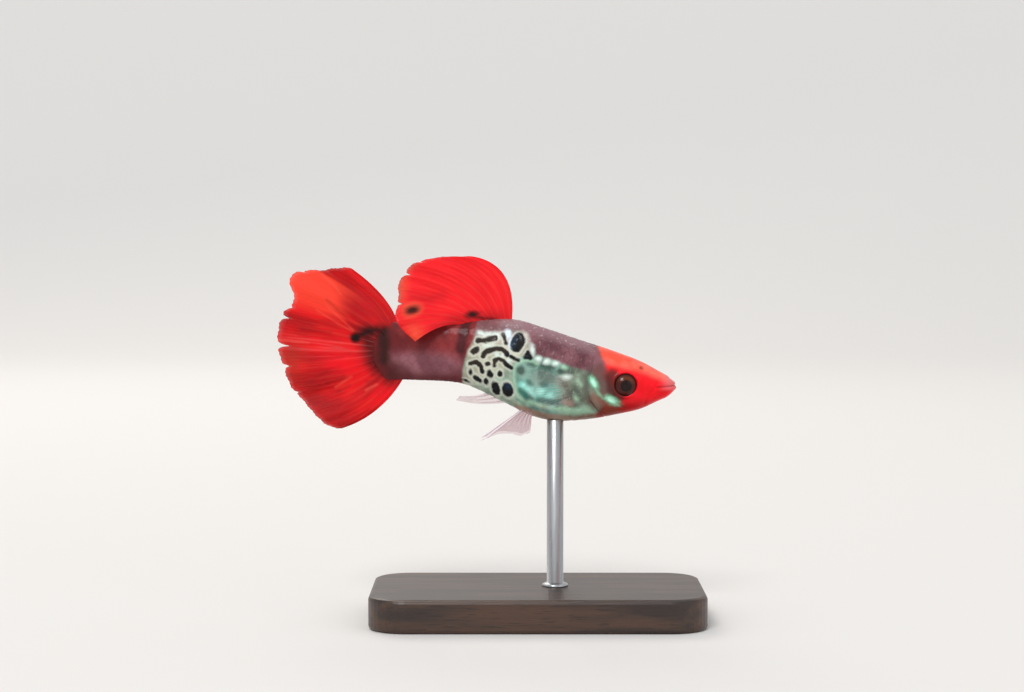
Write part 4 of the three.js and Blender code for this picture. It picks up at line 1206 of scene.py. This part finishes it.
def scarlet_web(name, bright, deep, colour_marks, thin, glow, lit=None):
    """Pigmented fin skin. thin is how far in from its margin the pigment thins, as a share of the reach, and
    glow is the share of light that passes through it."""
    material = start_material(name)
    tree = material.node_tree
    ray, place = attribute(tree, "ray"), attribute(tree, "fin_place", "Vector")
    streaks = grain(tree, place, 1.0, 4.0, stretch=(60, 2.5, 1), roughness=0.6)
    broad = grain(tree, place, 1.0, 2.0, stretch=(7, 1.8, 1))
    patches = grain(tree, place, 1.0, 3.0, stretch=(24, 7, 1))
    colour = paint(tree, mix_colour(tree, smooth_step(tree, broad, 0.35, 0.62), deep, bright), [
        (smooth_step(tree, streaks, 0.52, 0.75), 0.3, "#FF4A34"),
        (smooth_step(tree, streaks, 0.46, 0.28), 0.25, "#9C0A14"),
    ])
    # painted light on the lit panel of a folded fin
    if lit:
        colour = mix_colour(tree, lit(tree), colour, "#FF4E38")
    colour = mix_colour(tree, calculate(tree, "MULTIPLY", ray, 0.12), colour, "#FF6A54")
    fray = calculate(tree, "SUBTRACT", patches, 0.5)
    for key, mark_colour, cover, soft, *_ in colour_marks:
        frayed = calculate(tree, "MULTIPLY_ADD", fray, soft, attribute(tree, key))
        colour = paint(tree, colour, [(smooth_step(tree, frayed, soft, -soft), cover, mark_colour)])
    solid = add_node(tree, "ShaderNodeBsdfPrincipled", Base_Color=colour, Roughness=0.5, IOR=1.38,
                     Specular_IOR_Level=0.25, Coat_Weight=0.1, Coat_Roughness=0.25)
    through = add_node(tree, "ShaderNodeBsdfTranslucent", Color=colour)
    fin = add_node(tree, "ShaderNodeMixShader", in0=glow, in1=solid.outputs[0], in2=through.outputs[0])
    worn = calculate(tree, "MULTIPLY_ADD", calculate(tree, "SUBTRACT", streaks, 0.5), thin * 0.6,
                     attribute(tree, "to_margin"))
    seen = calculate(tree, "MULTIPLY_ADD", smooth_step(tree, worn, -0.02, thin), 0.33, 0.65, clamp=True)
    clear = add_node(tree, "ShaderNodeBsdfTransparent")
    mixed = add_node(tree, "ShaderNodeMixShader", in0=seen, in1=clear.outputs[0], in2=fin.outputs[0])
    add_node(tree, "ShaderNodeOutputMaterial", Surface=mixed.outputs[0])
    return material


def lit_panel(tree):
    """The orange panel of the tail fin, between its first fold and its middle, painted as light falling on
    that side of the fold.
    """
    over, out = attribute(tree, "over"), attribute(tree, "out")
    rises = calculate(tree, "MULTIPLY", smooth_step(tree, over, 0.12, 0.15),
                      smooth_step(tree, over, 0.36, 0.26))
    return calculate(tree, "MULTIPLY", rises, smooth_step(tree, out, 0.42, 0.66))


# %% Clear fin web


def clear_web(name, web_seen, ray_seen, edge_ray=0.0):
    """Clear fin skin. web_seen and ray_seen are how much of the light the web and its rays stop."""
    material = start_material(name)
    tree = material.node_tree
    ray, place = attribute(tree, "ray"), attribute(tree, "fin_place", "Vector")
    streaks = grain(tree, place, 1.0, 3.0, stretch=(30, 3, 1))
    trailing = calculate(tree, "MULTIPLY", smooth_step(tree, attribute(tree, "over"), 0.9, 0.97), edge_ray)
    colour = paint(tree, mix_colour(tree, streaks, "#A8767E", "#D2B0B6"), [(trailing, 1.0, "#F4E8EE")])
    solid = add_node(tree, "ShaderNodeBsdfPrincipled", Base_Color=colour, Roughness=0.35, IOR=1.38,
                     Coat_Weight=0.2, Coat_Roughness=0.15)
    clear = add_node(tree, "ShaderNodeBsdfTransparent")
    seen = calculate(tree, "MULTIPLY_ADD", ray, ray_seen, web_seen)
    seen = calculate(tree, "ADD", seen, calculate(tree, "MULTIPLY", trailing, 0.6), clamp=True)
    mixed = add_node(tree, "ShaderNodeMixShader", in0=seen, in1=clear.outputs[0], in2=solid.outputs[0])
    add_node(tree, "ShaderNodeOutputMaterial", Surface=mixed.outputs[0])
    return material


# %% Making the fins
dorsal_web = scarlet_web("scarlet_back_fin_web", "#FF222C", "#F51A26", DORSAL_MARKS, 0.07, 0.25)
caudal_web = scarlet_web("scarlet_tail_fin_web", "#F0161F", "#C8111A", CAUDAL_MARKS, 0.07, 0.34, lit_panel)
fin_piece("dorsal_fin_web", dorsal_middle, (64, 280), DORSAL["rays"], dorsal_web, ridge=0.03,
          lobes=0.02, fringe=0.008, tears=3, crinkle=0.08, colour_marks=DORSAL_MARKS)
fin_piece("caudal_fin_web", caudal_middle, (80, 440), CAUDAL["rays"], caudal_web, root=0.22,
          ridge=0.04, lobes=0.022, fringe=0.012, tears=8, crinkle=0.16, colour_marks=CAUDAL_MARKS)
belly_web = clear_web("clear_belly_fin_web", 0.2, 0.3, edge_ray=1.0)
breast_web = clear_web("clear_breast_fin_web", 0.03, 0.16)
fin_piece("anal_fin_web", anal_middle, (40, 60), ANAL["rays"], belly_web, root=0.25, lobes=0.02,
          fringe=0.01, tears=0)
for name, side in (("right", -1), ("left", 1)):
    fin_piece("pelvic_fin_" + name + "_web", pelvic_middle(side), (40, 120), PELVIC["rays"], belly_web,
              root=0.22, lobes=0.05, tears=2)
    fin_piece("pectoral_fin_" + name + "_web", pectoral_middle(side), (44, 160), PECTORAL["rays"], breast_web,
              root=0.2, lobes=0.04, tears=2)

# %% [markdown]
# ## Stand
# The fish swims, so a plain stand holds it up: a slab of dark stained hardwood and one stainless rod. The
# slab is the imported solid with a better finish. The rod is turned again, finer, because its top has to reach
# into the skin. A low collar, turned in one piece with it, hides the edge of its hole. The solids have no
# such collar.

# %% Wood and steel


def object_millimetres(tree):
    """Each point's place in the object's own frame, in millimetres."""
    where = add_node(tree, "ShaderNodeTexCoord").outputs["Object"]
    return add_node(tree, "ShaderNodeVectorMath", {"operation": "MULTIPLY"}, in0=where,
                    in1=(1 / MM,) * 3).outputs[0]


def stained_hardwood():
    """Walnut stained dark, sanded and oiled: long grain, fine pores, satin."""
    material = start_material("oiled_walnut")
    tree = material.node_tree
    millimetres = object_millimetres(tree)
    bands = grain(tree, millimetres, 1.3, 3.0, stretch=(0.09, 1, 1))
    pores = grain(tree, millimetres, 0.16, 2.0, stretch=(0.07, 1, 1))
    colour = mix_colour(tree, smooth_step(tree, bands, 0.35, 0.68), "#2A1B14", "#4A3122")
    open_pores = calculate(tree, "MULTIPLY", smooth_step(tree, pores, 0.56, 0.68), 0.6)
    colour = mix_colour(tree, open_pores, colour, "#150D0A")
    bump = add_node(tree, "ShaderNodeBump", Strength=0.35, Distance=0.00006, Height=pores)
    shader = add_node(tree, "ShaderNodeBsdfPrincipled", Base_Color=colour, Roughness=0.42, IOR=1.5,
                      Coat_Weight=0.15, Coat_Roughness=0.25, Normal=bump.outputs[0])
    add_node(tree, "ShaderNodeOutputMaterial", Surface=shader.outputs[0])
    return material


def drawn_steel():
    """Stainless rod, drawn through a die: fine lines along its length."""
    material = start_material("drawn_stainless_steel")
    tree = material.node_tree
    millimetres = object_millimetres(tree)
    lines = grain(tree, millimetres, 0.09, 2.0, stretch=(1, 1, 0.03))
    colour = mix_colour(tree, lines, "#A9ABAE", "#C9CBCD")
    bump = add_node(tree, "ShaderNodeBump", Strength=0.2, Distance=0.00002, Height=lines)
    rough = calculate(tree, "MULTIPLY_ADD", lines, 0.15, 0.22)
    shader = add_node(tree, "ShaderNodeBsdfPrincipled", Base_Color=colour, Metallic=1.0, Roughness=rough,
                      Normal=bump.outputs[0])
    add_node(tree, "ShaderNodeOutputMaterial", Surface=shader.outputs[0])
    return material


# %% Slab and rod
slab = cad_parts["stand_base"]
slab.data.materials.clear()
slab.data.materials.append(stained_hardwood())
slab_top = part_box("stand_base")[1][2] / MM
rod_low, rod_high = (corner[2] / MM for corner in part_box("stand_rod"))
COLLAR = {"radius": 1.2, "height": 0.35}
collar_top = slab_top + COLLAR["height"]
rod_profile = [(rod_low, ROD["radius"]), (slab_top - 0.02, ROD["radius"]),
               (slab_top - 0.02, COLLAR["radius"] - 0.06), (slab_top + 0.05, COLLAR["radius"]),
               (slab_top + COLLAR["height"] * 0.6, COLLAR["radius"] - 0.05),
               (collar_top, ROD["radius"] + 0.08), (collar_top, ROD["radius"]),
               (rod_high + 0.12, ROD["radius"]), (rod_high + 0.2, ROD["radius"] - 0.1)]
spokes = np.linspace(0, 2 * math.pi, 64, endpoint=False)
rod_points = np.array([[(ROD["ahead_of_middle"] + r * math.cos(a), r * math.sin(a), z) for a in spokes]
                       for z, r in rod_profile]) * MM
rod = outward(grid_object("stand_rod_turned", rod_points, drawn_steel(), wrap=True,
                          caps=[rod_points[0].mean(axis=0), rod_points[-1].mean(axis=0)]))
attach(rod, "root")
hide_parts("stand_rod")
print("rod from", round(rod_low, 2), "to", round(rod_high, 2), "mm")
